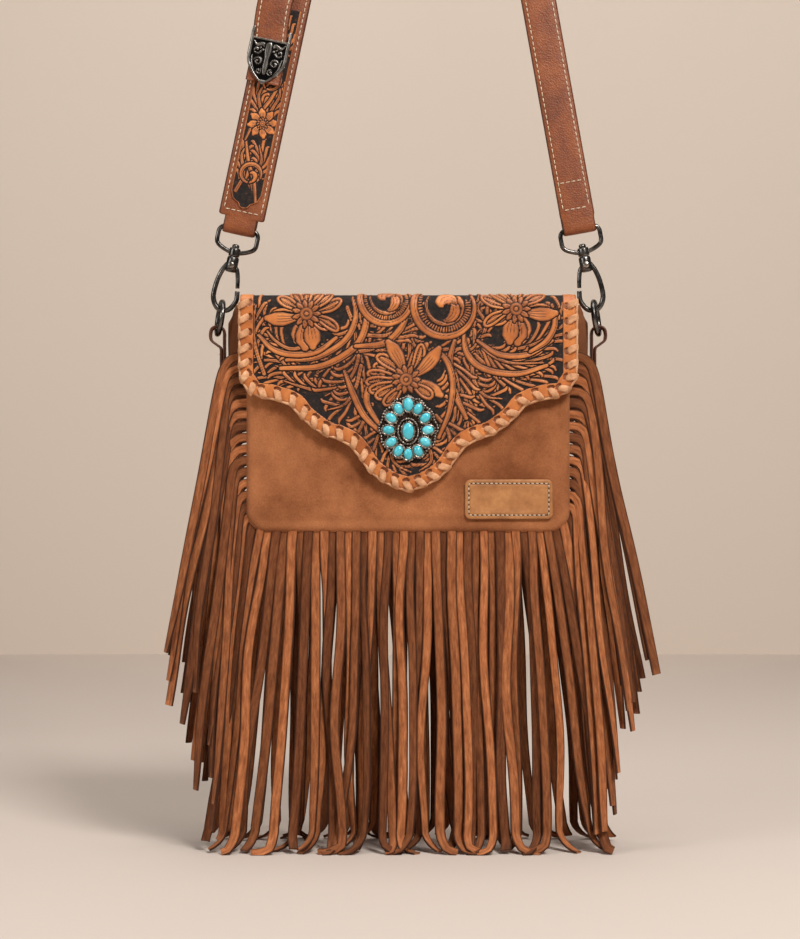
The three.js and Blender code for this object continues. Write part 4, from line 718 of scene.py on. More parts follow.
class Carving:
    """The carved face as a height and a darkness at each point of a grid, in the flap's own plane."""

    STRAND = ((0, 0.02), (0.14, 0.24), (0.28, 0.62), (0.38, 1.0), (0.4, 1.3))
    VEINS = ((-0.42, 0.24), (0.0, 0.24), (0.42, 0.24))

    def __init__(self, points):
        self.points = points
        self.height = np.full(len(points), -1.0)
        self.cut = np.zeros(len(points))
        self.hue = np.zeros(len(points))

    def cover(self, pick, height, cut=0.0, hue=0.5):
        self.height[pick] = height[pick]
        self.cut[pick] = np.broadcast_to(cut, self.height.shape)[pick]
        self.hue[pick] = hue

    def stroke(self, knots, widths, height=0.5, crown=0.35, cuts=(), cut_end=0.8, hue=0.5, steps=7):
        """A raised, tapered shape along a smooth line, with a dark outline and cuts along it."""
        line = smooth_line(knots, steps)
        widths = np.asarray(widths, float)
        reach = widths.max() + 0.9
        low, high = line.min(0) - reach, line.max(0) + reach
        pick = np.nonzero(((self.points > low) & (self.points < high)).all(1))[0]
        if not len(pick):
            return
        near = self.points[pick]
        gap, share = distance_to(near, line)
        at = share * (len(line) - 1)
        index = np.clip(at.astype(int), 0, len(line) - 2)
        along = line[index + 1] - line[index]
        off = near - line[index]
        sign = np.sign(along[:, 0] * off[:, 1] - along[:, 1] * off[:, 0])
        width = np.interp(share, np.linspace(0, 1, len(widths)), widths)
        q = gap / np.maximum(width, 1e-6)
        inside = q < 1
        outline = (~inside) & (gap < width + 0.85) & (gap < width * 2.1 + 0.3)
        body = height + crown * np.sqrt(np.clip(1 - q ** 2, 0, 1))
        dark = np.clip((q - 0.6) / 0.4, 0, 1) ** 2 * 0.85
        for place, broad in cuts:
            from_cut = (q * sign - place) * width / broad
            line_cut = np.exp(-from_cut ** 2) * np.clip((cut_end - share) * 9, 0, 1)
            body = body - 0.45 * line_cut
            dark = np.maximum(dark, line_cut)
        to = pick[inside]
        self.height[to] = body[inside]
        self.cut[to] = dark[inside]
        self.hue[to] = hue
        to = pick[outline]
        self.height[to] = np.minimum(self.height[to], -0.5)
        self.cut[to] = 1

    def frond(self, knots, wide, lobes, sides=(-1, 1), hue=0.5):
        """A fluted leaf: long strands leave a curved spine one after another, run on beside it and curl."""
        spine = smooth_line(knots, 16)
        tangent = unit(np.gradient(spine, axis=0))
        out = np.stack([-tangent[:, 1], tangent[:, 0]], -1)
        long = distances(spine)[-1]
        places = np.arange(len(spine))

        def beside(share, aside):
            at = min(share, 1) * places[-1]
            spot, way, off = (follow(at, places, line) for line in (spine, tangent, out))
            return spot + way * max(share - 1, 0) * long + off * aside

        lobes = max(round(lobes * 0.72), 3)
        for k in range(lobes - 1, -1, -1):
            share = 0.05 + 0.8 * k / lobes
            size = wide * (0.7 + 0.5 * math.sin(math.pi * min(share + 0.25, 1)))
            for side in sides:
                spots = [beside(share + ahead, side * size * aside) for ahead, aside in self.STRAND]
                veins = ((0.15, 0.16),) if k % 2 else ()
                self.stroke(spots, [0.3, 0.8, 1.05, 1.15, 0.6], 0.4, 0.45, veins, 0.7, hue, 6)
        self.stroke(knots, [1.3, 1.2, 0.9, 0.35], 0.55, 0.35, ((0, 0.2),), 0.85, hue)

    def loop(self, centre, angle, long, wide, bend=0.0, hue=0.55):
        """A petal drawn as a raised rim round a sunk, dark-lined middle, its tip curled over."""
        way = np.array([math.cos(angle), math.sin(angle)])
        out = np.array([-way[1], way[0]])
        centre = np.asarray(centre)

        def at(along, aside):
            return centre + way * long * along + out * (long * bend * along * along + wide * aside)

        rim = [at(*spot) for spot in ((0.2, 0.15), (0.45, 0.62), (0.72, 0.95), (0.93, 0.7), (1.0, 0.0),
                                      (0.93, -0.7), (0.72, -0.95), (0.45, -0.62), (0.2, -0.15))]
        sunk = [at(along, 0) for along in (0.2, 0.5, 0.8, 0.94)]
        self.stroke(sunk, wide * np.array([0.2, 0.6, 0.9, 0.5]), -0.1, 0.25, ((-0.3, 0.25), (0.3, 0.25)),
                    0.95, hue)
        self.stroke(rim, [0.5, 0.8, 0.95, 0.95, 1.0, 0.95, 0.95, 0.8, 0.5], 0.55, 0.4, (), 1, hue, 5)

    def petal(self, centre, angle, long, wide, bend=0.0, cuts=VEINS, hue=0.55):
        """A flower's petal from near its centre outward, narrow at the foot and veined."""
        way = np.array([math.cos(angle), math.sin(angle)])
        out = np.array([-way[1], way[0]])
        ahead = np.array([0.14, 0.45, 0.75, 0.97])[:, None]
        knots = centre + way * long * ahead + out * long * bend * ahead * ahead
        self.stroke(knots, wide * np.array([0.28, 0.62, 1, 0.95, 0.42]), 0.45, 0.5, cuts, 0.72, hue)

    def flower(self, centre, size, petals, hue=0.55):
        """Petals are given as angle in degrees, length share, width share and bend."""
        for angle, long, wide, bend in petals:
            draw = self.petal if wide > 0.165 else self.loop
            draw(centre, math.radians(angle), size * long, size * wide, bend, hue=hue)
        for k in range(11):
            self.petal(centre, k * 0.571, size * 0.4, size * 0.07, 0, ((0.0, 0.2),), hue=0.3)
        gap = np.hypot(*(self.points - centre).T)
        disc = gap < size * 0.2
        rings = np.cos(gap / (size * 0.2) * 3 * math.pi)
        self.cover(disc, 0.75 + 0.18 * rings, np.clip(0.45 - 0.5 * rings, 0, 1), 0.35)
        button = gap < size * 0.055
        self.cover(button, np.full(len(gap), 1.15), 0.0, 0.9)

    def scroll(self, centre, reach, turn, way, wide, hatched=True, hue=0.5):
        """A band curling in to a bud; a large one is double, hatched across between its two bands."""
        centre = np.asarray(centre, float)

        def curl(first, last, start, end, count=13):
            t = np.linspace(0, 1, count)
            angle = turn + way * (start + (end - start) * t)
            radius = reach * (first + (last - first) * t)
            return np.stack([centre[0] + radius * np.cos(angle), centre[1] + radius * np.sin(angle)], -1)

        if hatched:
            self.stroke(curl(0.84, 0.6, 0.2, 4.3), [0.5] + [reach * 0.15] * 3 + [0.6], 0.05, 0.1, (), 1,
                        0.7, 5)
        for k in range(34 if hatched else 0):
            a = turn + way * (0.35 + k * 0.115)
            mid = 0.85 - 0.0072 * k
            self.stroke([centre + np.array([math.cos(a), math.sin(a)]) * reach * r
                         for r in (mid - 0.1, mid + 0.07)],
                        [0.45, 0.55, 0.5], 0.4, 0.35, (), 1, 0.6, 3)
        self.stroke(curl(1.0, 0.8, -0.6, 4.4, 17), [wide * 0.4, wide, wide, wide * 0.8, wide * 0.4], 0.5,
                    0.4, ((0.3, 0.22),), 0.95, hue, 5)
        if hatched:
            self.stroke(curl(0.6, 0.42, 0.3, 4.6), [0.5, wide * 0.5, wide * 0.6, wide * 0.9], 0.55, 0.4,
                        ((0.0, 0.2),), 0.9, hue, 5)
            for first, start, end, broad in ((0.44, 2.2, 4.6, 1.3), (0.3, 4.2, 7.4, 1.9)):
                self.stroke(curl(first, first * 0.35, start, end, 7),
                            [0.4, wide * broad, wide * broad * 1.2, wide * broad, 0.4],
                            0.6, 0.6, ((0.35, 0.22), (-0.25, 0.2)), 0.85, 0.75, 5)
        else:
            self.stroke(curl(0.8, 0.1, 4.4, 7.2, 7), [wide * 0.4, wide * 1.2, wide * 0.6], 0.6, 0.5, (), 1,
                        0.75, 5)

    def settle(self, ground, rim, rim_height, rim_cut, rim_hue):
        """Sinks the ground that no shape covers and levels the plain rim."""
        self.height[rim], self.cut[rim], self.hue[rim] = rim_height, rim_cut, rim_hue
        bare = self.height <= -0.99
        self.height[bare], self.cut[bare] = ground, 1

    def marks(self):
        """Darkness and shade at each point, for the face of a sheet and again for its back."""
        marks = np.stack([self.cut, self.hue, 0 * self.hue], -1)
        return np.concatenate([marks, marks])


def down(points):
    """Places on the flap as (right of the middle, down from its top), both in millimetres."""
    return [(x, -drop) for x, drop in points]


def carve_flap(points):
    """The flap's whole design. The order is from what lies below to what lies above."""
    work = Carving(points)
    for knots, wide, lobes, sides in (
            ([(-84, 44), (-96, 34), (-106, 20), (-112, 6)], 9, 7, (-1, 1)),
            ([(-70, 56), (-88, 50), (-102, 48), (-112, 50)], 8, 6, (-1, 1)),
            ([(-64, 62), (-82, 62), (-96, 60), (-108, 57)], 6, 6, (1,)),
            ([(-58, 40), (-68, 50), (-82, 56), (-96, 52)], 9, 6, (-1, 1)),
            ([(-52, 66), (-64, 70), (-78, 67), (-90, 63)], 6, 6, (-1,)),
            ([(-56, 20), (-48, 34), (-52, 48), (-66, 58)], 10, 7, (-1, 1)),
            ([(-40, 30), (-36, 46), (-44, 64), (-60, 74)], 9, 7, (-1, 1)),
            ([(-34, 52), (-38, 68), (-46, 80), (-58, 84)], 8, 6, (-1, 1)),
            ([(-26, 80), (-32, 92), (-38, 102), (-46, 98)], 8, 5, (-1, 1)),
            ([(-16, 92), (-22, 104), (-26, 114), (-32, 116)], 8, 5, (-1, 1)),
            ([(-8, 104), (-12, 116), (-8, 124), (2, 129)], 7, 5, (-1, 1)),
            ([(-36, 8), (-34, 22), (-24, 32), (-8, 36)], 9, 6, (1,)),
            ([(-30, 34), (-18, 40), (-6, 42), (4, 34)], 7, 5, (-1, 1)),
            ([(2, 18), (2, 32), (8, 42), (16, 52)], 7, 6, (-1, 1)),
            ([(54, 26), (50, 40), (56, 54), (70, 60)], 10, 7, (-1, 1)),
            ([(46, 34), (62, 46), (82, 48), (104, 42)], 11, 9, (-1, 1)),
            ([(48, 44), (62, 56), (80, 60), (100, 56)], 8, 8, (-1, 1)),
            ([(96, 34), (106, 26), (110, 14), (112, 4)], 8, 6, (-1, 1)),
            ([(40, 36), (36, 54), (40, 72), (50, 84)], 11, 8, (-1, 1)),
            ([(46, 52), (48, 64), (56, 74), (68, 76)], 8, 6, (-1, 1)),
            ([(24, 44), (34, 58), (36, 74), (32, 94)], 10, 8, (-1, 1)),
            ([(22, 72), (34, 78), (42, 90), (44, 102)], 9, 6, (-1, 1)),
            ([(20, 88), (28, 98), (30, 108), (26, 118)], 8, 6, (-1, 1)),
            ([(10, 106), (16, 114), (16, 122), (8, 128)], 7, 5, (-1, 1)),
            ([(-70, 36), (-84, 40), (-96, 34), (-104, 24)], 7, 6, (1,)),
            ([(-38, 42), (-26, 40), (-14, 32), (4, 20)], 8, 6, (-1, 1)),
            ([(-30, 30), (-16, 30), (-2, 22), (4, 6)], 8, 6, (-1, 1)),
            ([(52, 36), (56, 22), (50, 10), (56, 2)], 8, 6, (-1, 1)),
            ([(14, 40), (30, 40), (42, 36), (52, 26)], 8, 6, (-1, 1)),
            ([(28, 48), (36, 40), (46, 40), (52, 30)], 6, 5, (1,)),
            ([(58, 38), (76, 40), (92, 36), (108, 26)], 9, 8, (-1, 1)),
            ([(50, 34), (60, 44), (74, 50), (98, 50)], 8, 8, (-1, 1)),
            ([(-104, 58), (-110, 40), (-112, 24), (-110, 8)], 7, 6, (-1,)),
            ([(-44, 10), (-40, 24), (-46, 36), (-58, 46)], 7, 6, (-1, 1)),
    ):
        work.frond(down(knots), wide, lobes, sides)
    for knots, wide in (
            ([(-34, 0), (-30, 18), (-38, 38), (-62, 52), (-92, 54)], 2.4),
            ([(-40, 2), (-38, 18), (-46, 34), (-66, 46), (-88, 48)], 2.0),
            ([(-108, 30), (-98, 40), (-84, 44), (-66, 42), (-52, 32)], 2.1),
            ([(-20, 44), (-26, 62), (-30, 78), (-20, 96)], 2.2),
            ([(-46, 56), (-40, 72), (-32, 88), (-20, 100)], 2.2),
            ([(0, 14), (-6, 26), (-18, 36), (-38, 38)], 2.3),
            ([(40, 24), (42, 42), (54, 54), (78, 58), (100, 52)], 2.2),
            ([(50, 34), (66, 44), (86, 44), (104, 34)], 2.0),
            ([(34, 32), (30, 50), (34, 72), (42, 90)], 2.2),
            ([(14, 40), (26, 46), (32, 62), (30, 84), (22, 104)], 2.0),
            ([(104, 8), (106, 22), (100, 34), (88, 42)], 2.0),
    ):
        widths = wide * np.array([0.5, 1, 1, 0.6])
        work.stroke(down(knots), widths, 0.5, 0.4, ((0.45, 0.25),), 0.95, 0.5, 10)
    work.scroll((-15, -3), 21, 2.5, 1, 2.3)
    work.scroll((27.5, -9), 25, 2.3, 1, 2.5)
    left = [(178, 1.0, 0.15, 0.1), (205, 1.12, 0.2, -0.35), (236, 0.85, 0.19, 0.25), (262, 1.0, 0.27, 0.1),
            (292, 0.98, 0.24, -0.2), (320, 0.8, 0.16, 0.2), (345, 1.0, 0.14, -0.2), (10, 1.05, 0.15, 0.2),
            (38, 1.0, 0.15, 0.1), (62, 0.9, 0.14, 0), (90, 0.8, 0.14, 0), (118, 0.85, 0.14, 0),
            (148, 0.95, 0.15, 0)]
    right = [(180 - angle, long, wide, -bend) for angle, long, wide, bend in left]
    middle = [(150, 1.0, 0.13, 0.1), (168, 1.12, 0.13, 0.05), (184, 1.15, 0.13, 0), (200, 1.1, 0.14, -0.05),
              (217, 1.0, 0.15, -0.1), (236, 0.95, 0.15, -0.1), (128, 1.05, 0.16, 0.2),
              (102, 1.2, 0.2, 0.25), (76, 1.15, 0.18, -0.3), (48, 1.05, 0.15, 0.3), (22, 1.25, 0.2, 0.4),
              (352, 1.1, 0.18, -0.3), (326, 0.9, 0.15, 0)]
    work.flower((-73.5, -14.5), 25, left)
    work.flower((78, -11), 25, right)
    work.flower((-1.5, -62), 25, middle)
    return work


flap_leather, nodes, links, shader, where = new_material("flap_leather")
split = point_mark(nodes, links, "carved")[1]
mottle = noise_node(nodes, links, where, 55, 5, 0.62)
tans = [(0.3, (0.33, 0.088, 0.02)), (0.52, (0.54, 0.165, 0.042)), (0.75, (0.76, 0.27, 0.075))]
tones = [(0.0, (0.62, 0.55, 0.5)), (0.5, (1.0, 1.0, 1.0)), (1.0, (1.2, 1.22, 1.2))]
blacks = [(0.35, (0.007, 0.0045, 0.0035)), (0.62, (0.02, 0.012, 0.009)), (0.8, (0.11, 0.036, 0.014))]
tone = ramp_node(nodes, links, split["Y"], tones)
raised = mix_colour(nodes, links, 1.0, ramp_node(nodes, links, mottle, tans), tone, "MULTIPLY")
beaten = noise_node(nodes, links, where, 420, 2, 0.6)
ground = ramp_node(nodes, links, beaten, blacks)
links.new(mix_colour(nodes, links, split["X"], raised, ground), shader.inputs["Base Color"])
gloss = nodes.new("ShaderNodeMapRange")
links.new(split["X"], gloss.inputs["Value"])
gloss.inputs["To Min"].default_value = 0.38
gloss.inputs["To Max"].default_value = 0.9
links.new(gloss.outputs["Result"], shader.inputs["Roughness"])
shader.inputs["Specular IOR Level"].default_value = 0.45
add_bump(nodes, links, shader, beaten, 0.0003, 0.5)
add_bump(nodes, links, shader, noise_node(nodes, links, where, 1500, 3, 0.6), 0.0001, 0.5)


def flap_face():
    """The fine carved sheet: over the front of the bend and down to the wavy edge."""
    columns, rows, bend_rows = 400, 214, 20
    x = np.linspace(-FLAP_HALF, FLAP_HALF, columns)
    low = lower_edge(x)
    bend = FLAP_BEND * math.pi / 2
    start = FLAP_TOP - FLAP_BEND
    t = np.linspace(0, 1, rows - bend_rows)[:, None]
    front_z = start + t * (low - start)[None]
    arc = np.linspace(bend, 0, bend_rows, endpoint=False)[:, None] + 0 * x[None]
    pattern_z = np.concatenate([start + arc, front_z]) - FLAP_TOP
    turn = np.concatenate([arc / FLAP_BEND, 0 * front_z])
    straight = np.concatenate([0 * arc + start, front_z])
    grid_x = np.broadcast_to(x, pattern_z.shape)
    flat = np.stack([grid_x.ravel(), pattern_z.ravel()], -1) * 1000
    work = carve_flap(flat)
    edge = np.concatenate([[(FLAP_HALF, FLAP_TOP + 0.05)], flap_edge,
                           [(-FLAP_HALF, FLAP_TOP + 0.05)]]) - (0, FLAP_TOP)
    inset = distance_to(flat, edge * 1000)[0]
    margin = MARGIN * 1000
    work.settle(-0.55, inset < margin, 0.35, 0, 0.5)
    line = (inset > margin) & (inset < margin + 0.55)
    work.height[line] = -0.5
    work.cut[line] = 1
    height = work.height * 0.8
    hole_at = (lace_spot - lace_out * (LACE_IN + 0.9 * MM) + lace_ahead * LACE_LEAN - (0, FLAP_TOP)) * 1000
    # The punched holes are sunk and marked fully dark: painted shade inside the holes, beside the lace.
    for centre, out_way in zip(hole_at, lace_out):
        gap = flat - centre
        hole = np.hypot(gap @ out_way, (gap @ (out_way[1], -out_way[0])) * 0.62) < 1.6
        height[hole] = -2.2
        work.cut[hole] = 1
    crimp = np.clip(1 - inset / 3.2, 0, 1)
    height -= 0.5 * crimp ** 2
    shadow = np.clip(1 - inset / 1.6, 0, 1) * 0.35
    away = (height * MM).reshape(pattern_z.shape)
    centre_y = FLAP_FACE + FLAP_BEND
    reach = FLAP_BEND + away
    face_z = straight + reach * np.sin(turn)
    face = np.stack([grid_x + MIDDLE_X, centre_y - reach * np.cos(turn), face_z], -1)
    back = face.copy()
    inner = FLAP_BEND - 1.6 * MM
    back[..., 1] = centre_y - inner * np.cos(turn)
    back[..., 2] = straight + inner * np.sin(turn)
    points, faces = slab_parts(face[::-1], back[::-1])
    marks = np.stack([np.maximum(work.cut, shadow), work.hue, 0 * work.hue], -1).reshape(face.shape)
    marks = np.concatenate([marks[::-1].reshape(-1, 3), marks[::-1].reshape(-1, 3)])
    return points, faces, marks


points, faces, marks = flap_face()
count = len(points) // 2
keep = faces[(faces < count).any(1)]
piece = add_mesh("flap_face", points, keep, flap_leather, "flap", ("flap",), "tooled_leather")
set_marks(piece, "carved", "FLOAT_VECTOR", "vector", marks)


# The flap's back is the same leather, flesh side in: one bent sheet from the hinge seam up the back of
# the bag, over its top and down behind the carved face.
def flap_body():
    back_y, hinge_z = flap_high.y, back_high.z - 27 * MM
    inner_front = FLAP_FACE + 1.2 * MM
    top_z = FLAP_TOP - 0.4 * MM
    turn = np.linspace(0, math.pi / 2, 9)
    outer = [(back_y, z) for z in np.linspace(hinge_z, FLAP_TOP - BACK_BEND, 12)]
    outer += [(back_y - BACK_BEND + BACK_BEND * math.cos(a), top_z - BACK_BEND + BACK_BEND * math.sin(a))
              for a in turn]
    bend = FLAP_BEND - 1.2 * MM
    outer += [(inner_front + bend - bend * math.sin(a), top_z - 0.8 * MM - bend + bend * math.cos(a))
              for a in turn]
    outer = np.array(outer)
    along = unit(np.gradient(outer, axis=0))
    inward = np.stack([-along[:, 1], along[:, 0]], -1)
    thick = FLAP_THICK - 1.2 * MM
    inner = outer + inward * thick
    x = np.linspace(-FLAP_HALF, FLAP_HALF, 90)
    low = lower_edge(x)
    start = FLAP_TOP - FLAP_BEND
    t = np.linspace(0, 1, 40)[1:, None]

    def skin(profile, front_y):
        wrapped = np.stack(np.broadcast_arrays(x + MIDDLE_X, profile[:, 0:1], profile[:, 1:2]), -1)
        front = np.stack(np.broadcast_arrays(x + MIDDLE_X, front_y, start + t * (low - start)), -1)
        return np.concatenate([wrapped, front])

    return slab_parts(skin(outer, inner_front), skin(inner, inner_front + thick))


plain_leather = mottled("flap_back_leather", (60, 5),
                        [(0.3, (0.2, 0.06, 0.02)), (0.7, (0.4, 0.135, 0.045))],
                        0.5, (900, 3))
points, faces = flap_body()
add_mesh("flap_back", points, faces, plain_leather, "flap", ("flap",), "tooled_leather")


# Lacing: one long, flat calf lace whipped over the flap's edge through the punched holes. Each wrap
# leans along the edge, and the lace shows as a thin strand where it passes from wrap to wrap.
LACE_WIDE = 4.8 * MM
LACE_THIN = 1 * MM
lace_leather = mottled("lace_leather", (180, 4),
                       [(0.3, (0.42, 0.185, 0.08)), (0.55, (0.68, 0.34, 0.165)), (0.75, (0.86, 0.5, 0.28))],
                       0.75, (1100, 3), 0.0003, 0.7)


def band_parts(path, side, wide, thick, bow=0.0):
    """A flat band along a path, its width along side and its middle bowed up by a share of its width."""
    path = np.asarray(path, float)
    side = np.broadcast_to(np.asarray(side, float), path.shape)
    tangent = unit(np.gradient(path, axis=0))
    side = unit(side - tangent * (side * tangent).sum(1)[:, None])
    face = np.cross(side, tangent)
    across = np.array([-1, -0.88, -0.45, 0, 0.45, 0.88, 1])
    half = np.array([0.25, 0.46, 0.5, 0.5, 0.5, 0.46, 0.25]) * thick
    raised = -bow * np.max(wide) * across ** 2
    ring_side = np.concatenate([across, across[::-1]])[None, :, None]
    ring_face = np.concatenate([raised + half, (raised - half)[::-1]])[None, :, None]
    wide = np.broadcast_to(np.asarray(wide, float), (len(path),))[:, None, None]
    points = path[:, None] + side[:, None] * ring_side * wide / 2 + face[:, None] * ring_face
    faces, first, last = ring_faces(len(path), points.shape[1], True)
    return points.reshape(-1, 3), faces + [first[::-1], last]


def on_flap(spot, y):
    return np.array([spot[0] + MIDDLE_X, y, spot[1]])


parts = []
front_y, back_y = FLAP_FACE - 0.2 * MM, FLAP_FACE + FLAP_THICK + 0.3 * MM
for spot, out_way, ahead in zip(lace_spot, lace_out, lace_ahead):
    lean = -ahead * LACE_LEAN
    wrap = [(-LACE_IN, -1, front_y + 1.2 * MM), (-LACE_IN + 0.9 * MM, -1, front_y - 0.5 * MM),
            (-3 * MM, 0, front_y - 1.7 * MM), (-0.2 * MM, 0.7, front_y - 1.2 * MM),
            (1.3 * MM, 1, FLAP_FACE + 1.5 * MM), (-0.4 * MM, 0.4, back_y + 0.4 * MM),
            (-4 * MM, 1, back_y + 0.4 * MM), (-LACE_IN, 1, back_y - 0.8 * MM)]
    places = [on_flap(spot + out_way * outward + lean * leant, y) for outward, leant, y in wrap]
    path = smooth_line(places, 5)
    wide = LACE_WIDE * np.interp(np.linspace(0, 1, len(path)), [0, 0.12, 0.9, 1], [0.7, 1, 1, 0.7])
    parts.append(band_parts(path, (ahead[0], 0, ahead[1]), wide, LACE_THIN, 0.07))
edge_points = []
for k in range(len(lace_spot) - 1):
    for share in (0, 1 / 3, 2 / 3):
        spot = lace_spot[k] * (1 - share) + lace_spot[k + 1] * share
        out_way = lace_out[k] * (1 - share) + lace_out[k + 1] * share
        edge_points.append(on_flap(spot + out_way * 0.35 * MM, FLAP_FACE + (0.2 + 1.6 * share) * MM))
parts.append(tube_parts(smooth_line(edge_points, 4), 1.05 * MM, 8))
points, faces = gather(parts)
add_mesh("flap_lacing", points, faces, lace_leather, "flap", ("flap_lacing",), "lacing")


# Concho: a cast, drop-shaped plate of darkened silver held to the flap by a post. Each stone sits in a
# raised cup, with a twisted wire round the middle one and small balls round the plate's edge.
plate_low, plate_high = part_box("concho_plate")
CONCHO_X = (plate_low.x + plate_high.x) / 2
CONCHO_Z = sum(corner.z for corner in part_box("stone_middle")) / 2
PLATE_FACE = plate_low.y
PLATE_BACK = plate_high.y
PLATE_HALF = (plate_high.x - plate_low.x) / 2
stone_names = ["stone_middle"] + [f"stone_{k}" for k in range(1, 13)]


def metal(name, dark, bright, rough, scale=60):
    material, nodes, links, shader, where = new_material(name)
    shade = ramp_node(nodes, links, noise_node(nodes, links, where, scale, 4),
                      [(0.35, dark), (0.66, bright)])
    links.new(shade, shader.inputs["Base Color"])
    rubbed = [(0.3, (rough * 0.75,) * 3), (0.7, (rough * 1.3,) * 3)]
    wear = ramp_node(nodes, links, noise_node(nodes, links, where, 260, 3), rubbed)
    links.new(wear, shader.inputs["Roughness"])
    shader.inputs["Metallic"].default_value = 1
    add_bump(nodes, links, shader, noise_node(nodes, links, where, 900, 2), 0.00012, 0.4)
    return material


def ball_parts(centre, radii, turn=0.0, rings=9, sides=16):
    """A dome bulging towards the front, turned in the plane of the flap."""
    up = np.linspace(0, math.pi / 2, rings)[:, None]
    around = np.arange(sides) / sides * 2 * math.pi
    x = np.cos(up) * np.cos(around) * radii[0]
    z = np.cos(up) * np.sin(around) * radii[2]
    y = -np.sin(up) * radii[1] + 0 * x
    ahead, aside = math.cos(turn), math.sin(turn)
    points = np.stack([x * ahead - z * aside, y, x * aside + z * ahead], -1)
    faces, first, last = ring_faces(rings, sides)
    return points.reshape(-1, 3) + centre, faces + [first[::-1]]


STONE_SIZES = {"stone_middle": (4.1, 6.2), "stone_1": (3.6, 4.9)}
stone_places = []
for name in stone_names:
    low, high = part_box(name)
    middle = (low + high) / 2
    outward = math.atan2(middle.z - CONCHO_Z, middle.x - CONCHO_X) - math.pi / 2
    wide, tall = STONE_SIZES.get(name, (3.1, 4.15))
    stone_places.append((middle, 0.0 if name == "stone_middle" else outward, wide * MM, tall * MM))

dark_silver = metal("dark_silver", (0.012, 0.008, 0.006), (0.09, 0.055, 0.038), 0.42, 300)
old_silver = metal("old_silver", (0.10, 0.08, 0.065), (0.56, 0.49, 0.42), 0.28, 520)
angles = np.linspace(0, 2 * math.pi, 241)[:-1]
plate_centre = np.array([CONCHO_X, 0, (plate_low.z + plate_high.z) / 2])
half_high = (plate_high.z - plate_low.z) / 2
narrowing = 1 - 0.2 * np.clip(np.sin(angles), 0, 1) ** 1.5
scallop = 1 + 0.028 * np.cos(angles * 12)
outline = np.stack([(PLATE_HALF - 1.2 * MM) * np.cos(angles) * narrowing * scallop,
                    (half_high - 1.2 * MM) * np.sin(angles) * scallop], -1)
steps = [(1.02, PLATE_BACK - 1.0 * MM)]
steps += [(share, PLATE_FACE + sunk * MM) for share, sunk in (
    (0.99, 0.5), (0.93, 0.1), (0.86, 0.7), (0.5, 0.5), (0.44, -0.1), (0.36, 0.6), (0.02, 0.6))]
rings = [np.insert(outline * share, 1, y, 1) for share, y in [(1.0, PLATE_BACK)] + steps]
faces, first, last = ring_faces(len(rings), len(angles))
add_mesh("concho_plate", np.concatenate(rings) + plate_centre, faces + [first[::-1], last], dark_silver,
         "flap", ("concho_plate",), "old_silver")

parts = []
for middle, turn, wide, tall in stone_places:
    t = np.linspace(0, 2 * math.pi, 29)[:-1]
    rim_x, rim_z = (wide + 0.45 * MM) * np.cos(t), (tall + 0.45 * MM) * np.sin(t)
    ahead, aside = math.cos(turn), math.sin(turn)
    rim = np.stack([middle.x + rim_x * ahead - rim_z * aside, 0 * t + PLATE_FACE - 0.55 * MM,
                    middle.z + rim_x * aside + rim_z * ahead], -1)
    parts.append(tube_parts(rim, 0.62 * MM, 8, closed=True))
    for spot in rim[::2]:
        way = np.array([spot[0] - middle.x, 0, spot[2] - middle.z])
        bead = spot + way / np.linalg.norm(way) * 0.75 * MM + (0, 0.35 * MM, 0)
        parts.append(ball_parts(bead, (0.5 * MM,) * 3, 0, 4, 8))
twist = np.linspace(0, 2 * math.pi, 201)[:-1]
around = np.stack([CONCHO_X + 7.3 * MM * np.cos(twist),
                   PLATE_FACE - 0.35 * MM + 0.25 * MM * np.cos(twist * 26),
                   stone_places[0][0].z + 9.2 * MM * np.sin(twist)], -1)
parts.append(tube_parts(around, 0.55 * MM * (1 + 0.28 * np.sin(twist * 26)), 8, closed=True))
edge_long = distances(outline)
for x, z in follow(np.arange(0, edge_long[-1], 2.15 * MM), edge_long, outline * 0.985):
    bead = plate_centre + (x, PLATE_FACE + 0.25 * MM, z)
    parts.append(ball_parts(bead, (0.92 * MM, 0.8 * MM, 0.92 * MM), 0, 5, 10))
points, faces = gather(parts)
add_mesh("concho_bezels", points, faces, old_silver, "flap", ("concho_plate",), "old_silver")


# Stones: turquoise cut as low domes and polished, the middle one the largest. They are set in the
# concho's cups, and a few fine dark veins of the rock they came from run through them.
STONE_DEEP = 2.5 * MM
turquoise, nodes, links, shader, where = new_material("turquoise")
blues = [(0.3, (0.04, 0.42, 0.50)), (0.55, (0.09, 0.58, 0.68)), (0.75, (0.25, 0.78, 0.85))]
cloud = ramp_node(nodes, links, noise_node(nodes, links, where, 90, 3), blues)
vein = noise_node(nodes, links, where, 260, 5, 0.7)
vein_share = share_node(nodes, links, vein, [(0.485, 0), (0.5, 0.7), (0.515, 0)])
soften = math_node(nodes, links, "MULTIPLY", vein_share, 0.45)
links.new(mix_colour(nodes, links, soften, cloud, (0.05, 0.2, 0.21)), shader.inputs["Base Color"])
shader.inputs["Roughness"].default_value = 0.16
shader.inputs["Coat Weight"].default_value = 0.3
for name, (middle, turn, wide, tall) in zip(stone_names, stone_places):
    foot = (middle.x, PLATE_FACE - 0.2 * MM, middle.z)
    points, faces = ball_parts(foot, (wide, STONE_DEEP, tall), turn, 14, 32)
    add_mesh(f"{name}_cabochon", points, faces, turquoise, "flap", (name,), "turquoise")


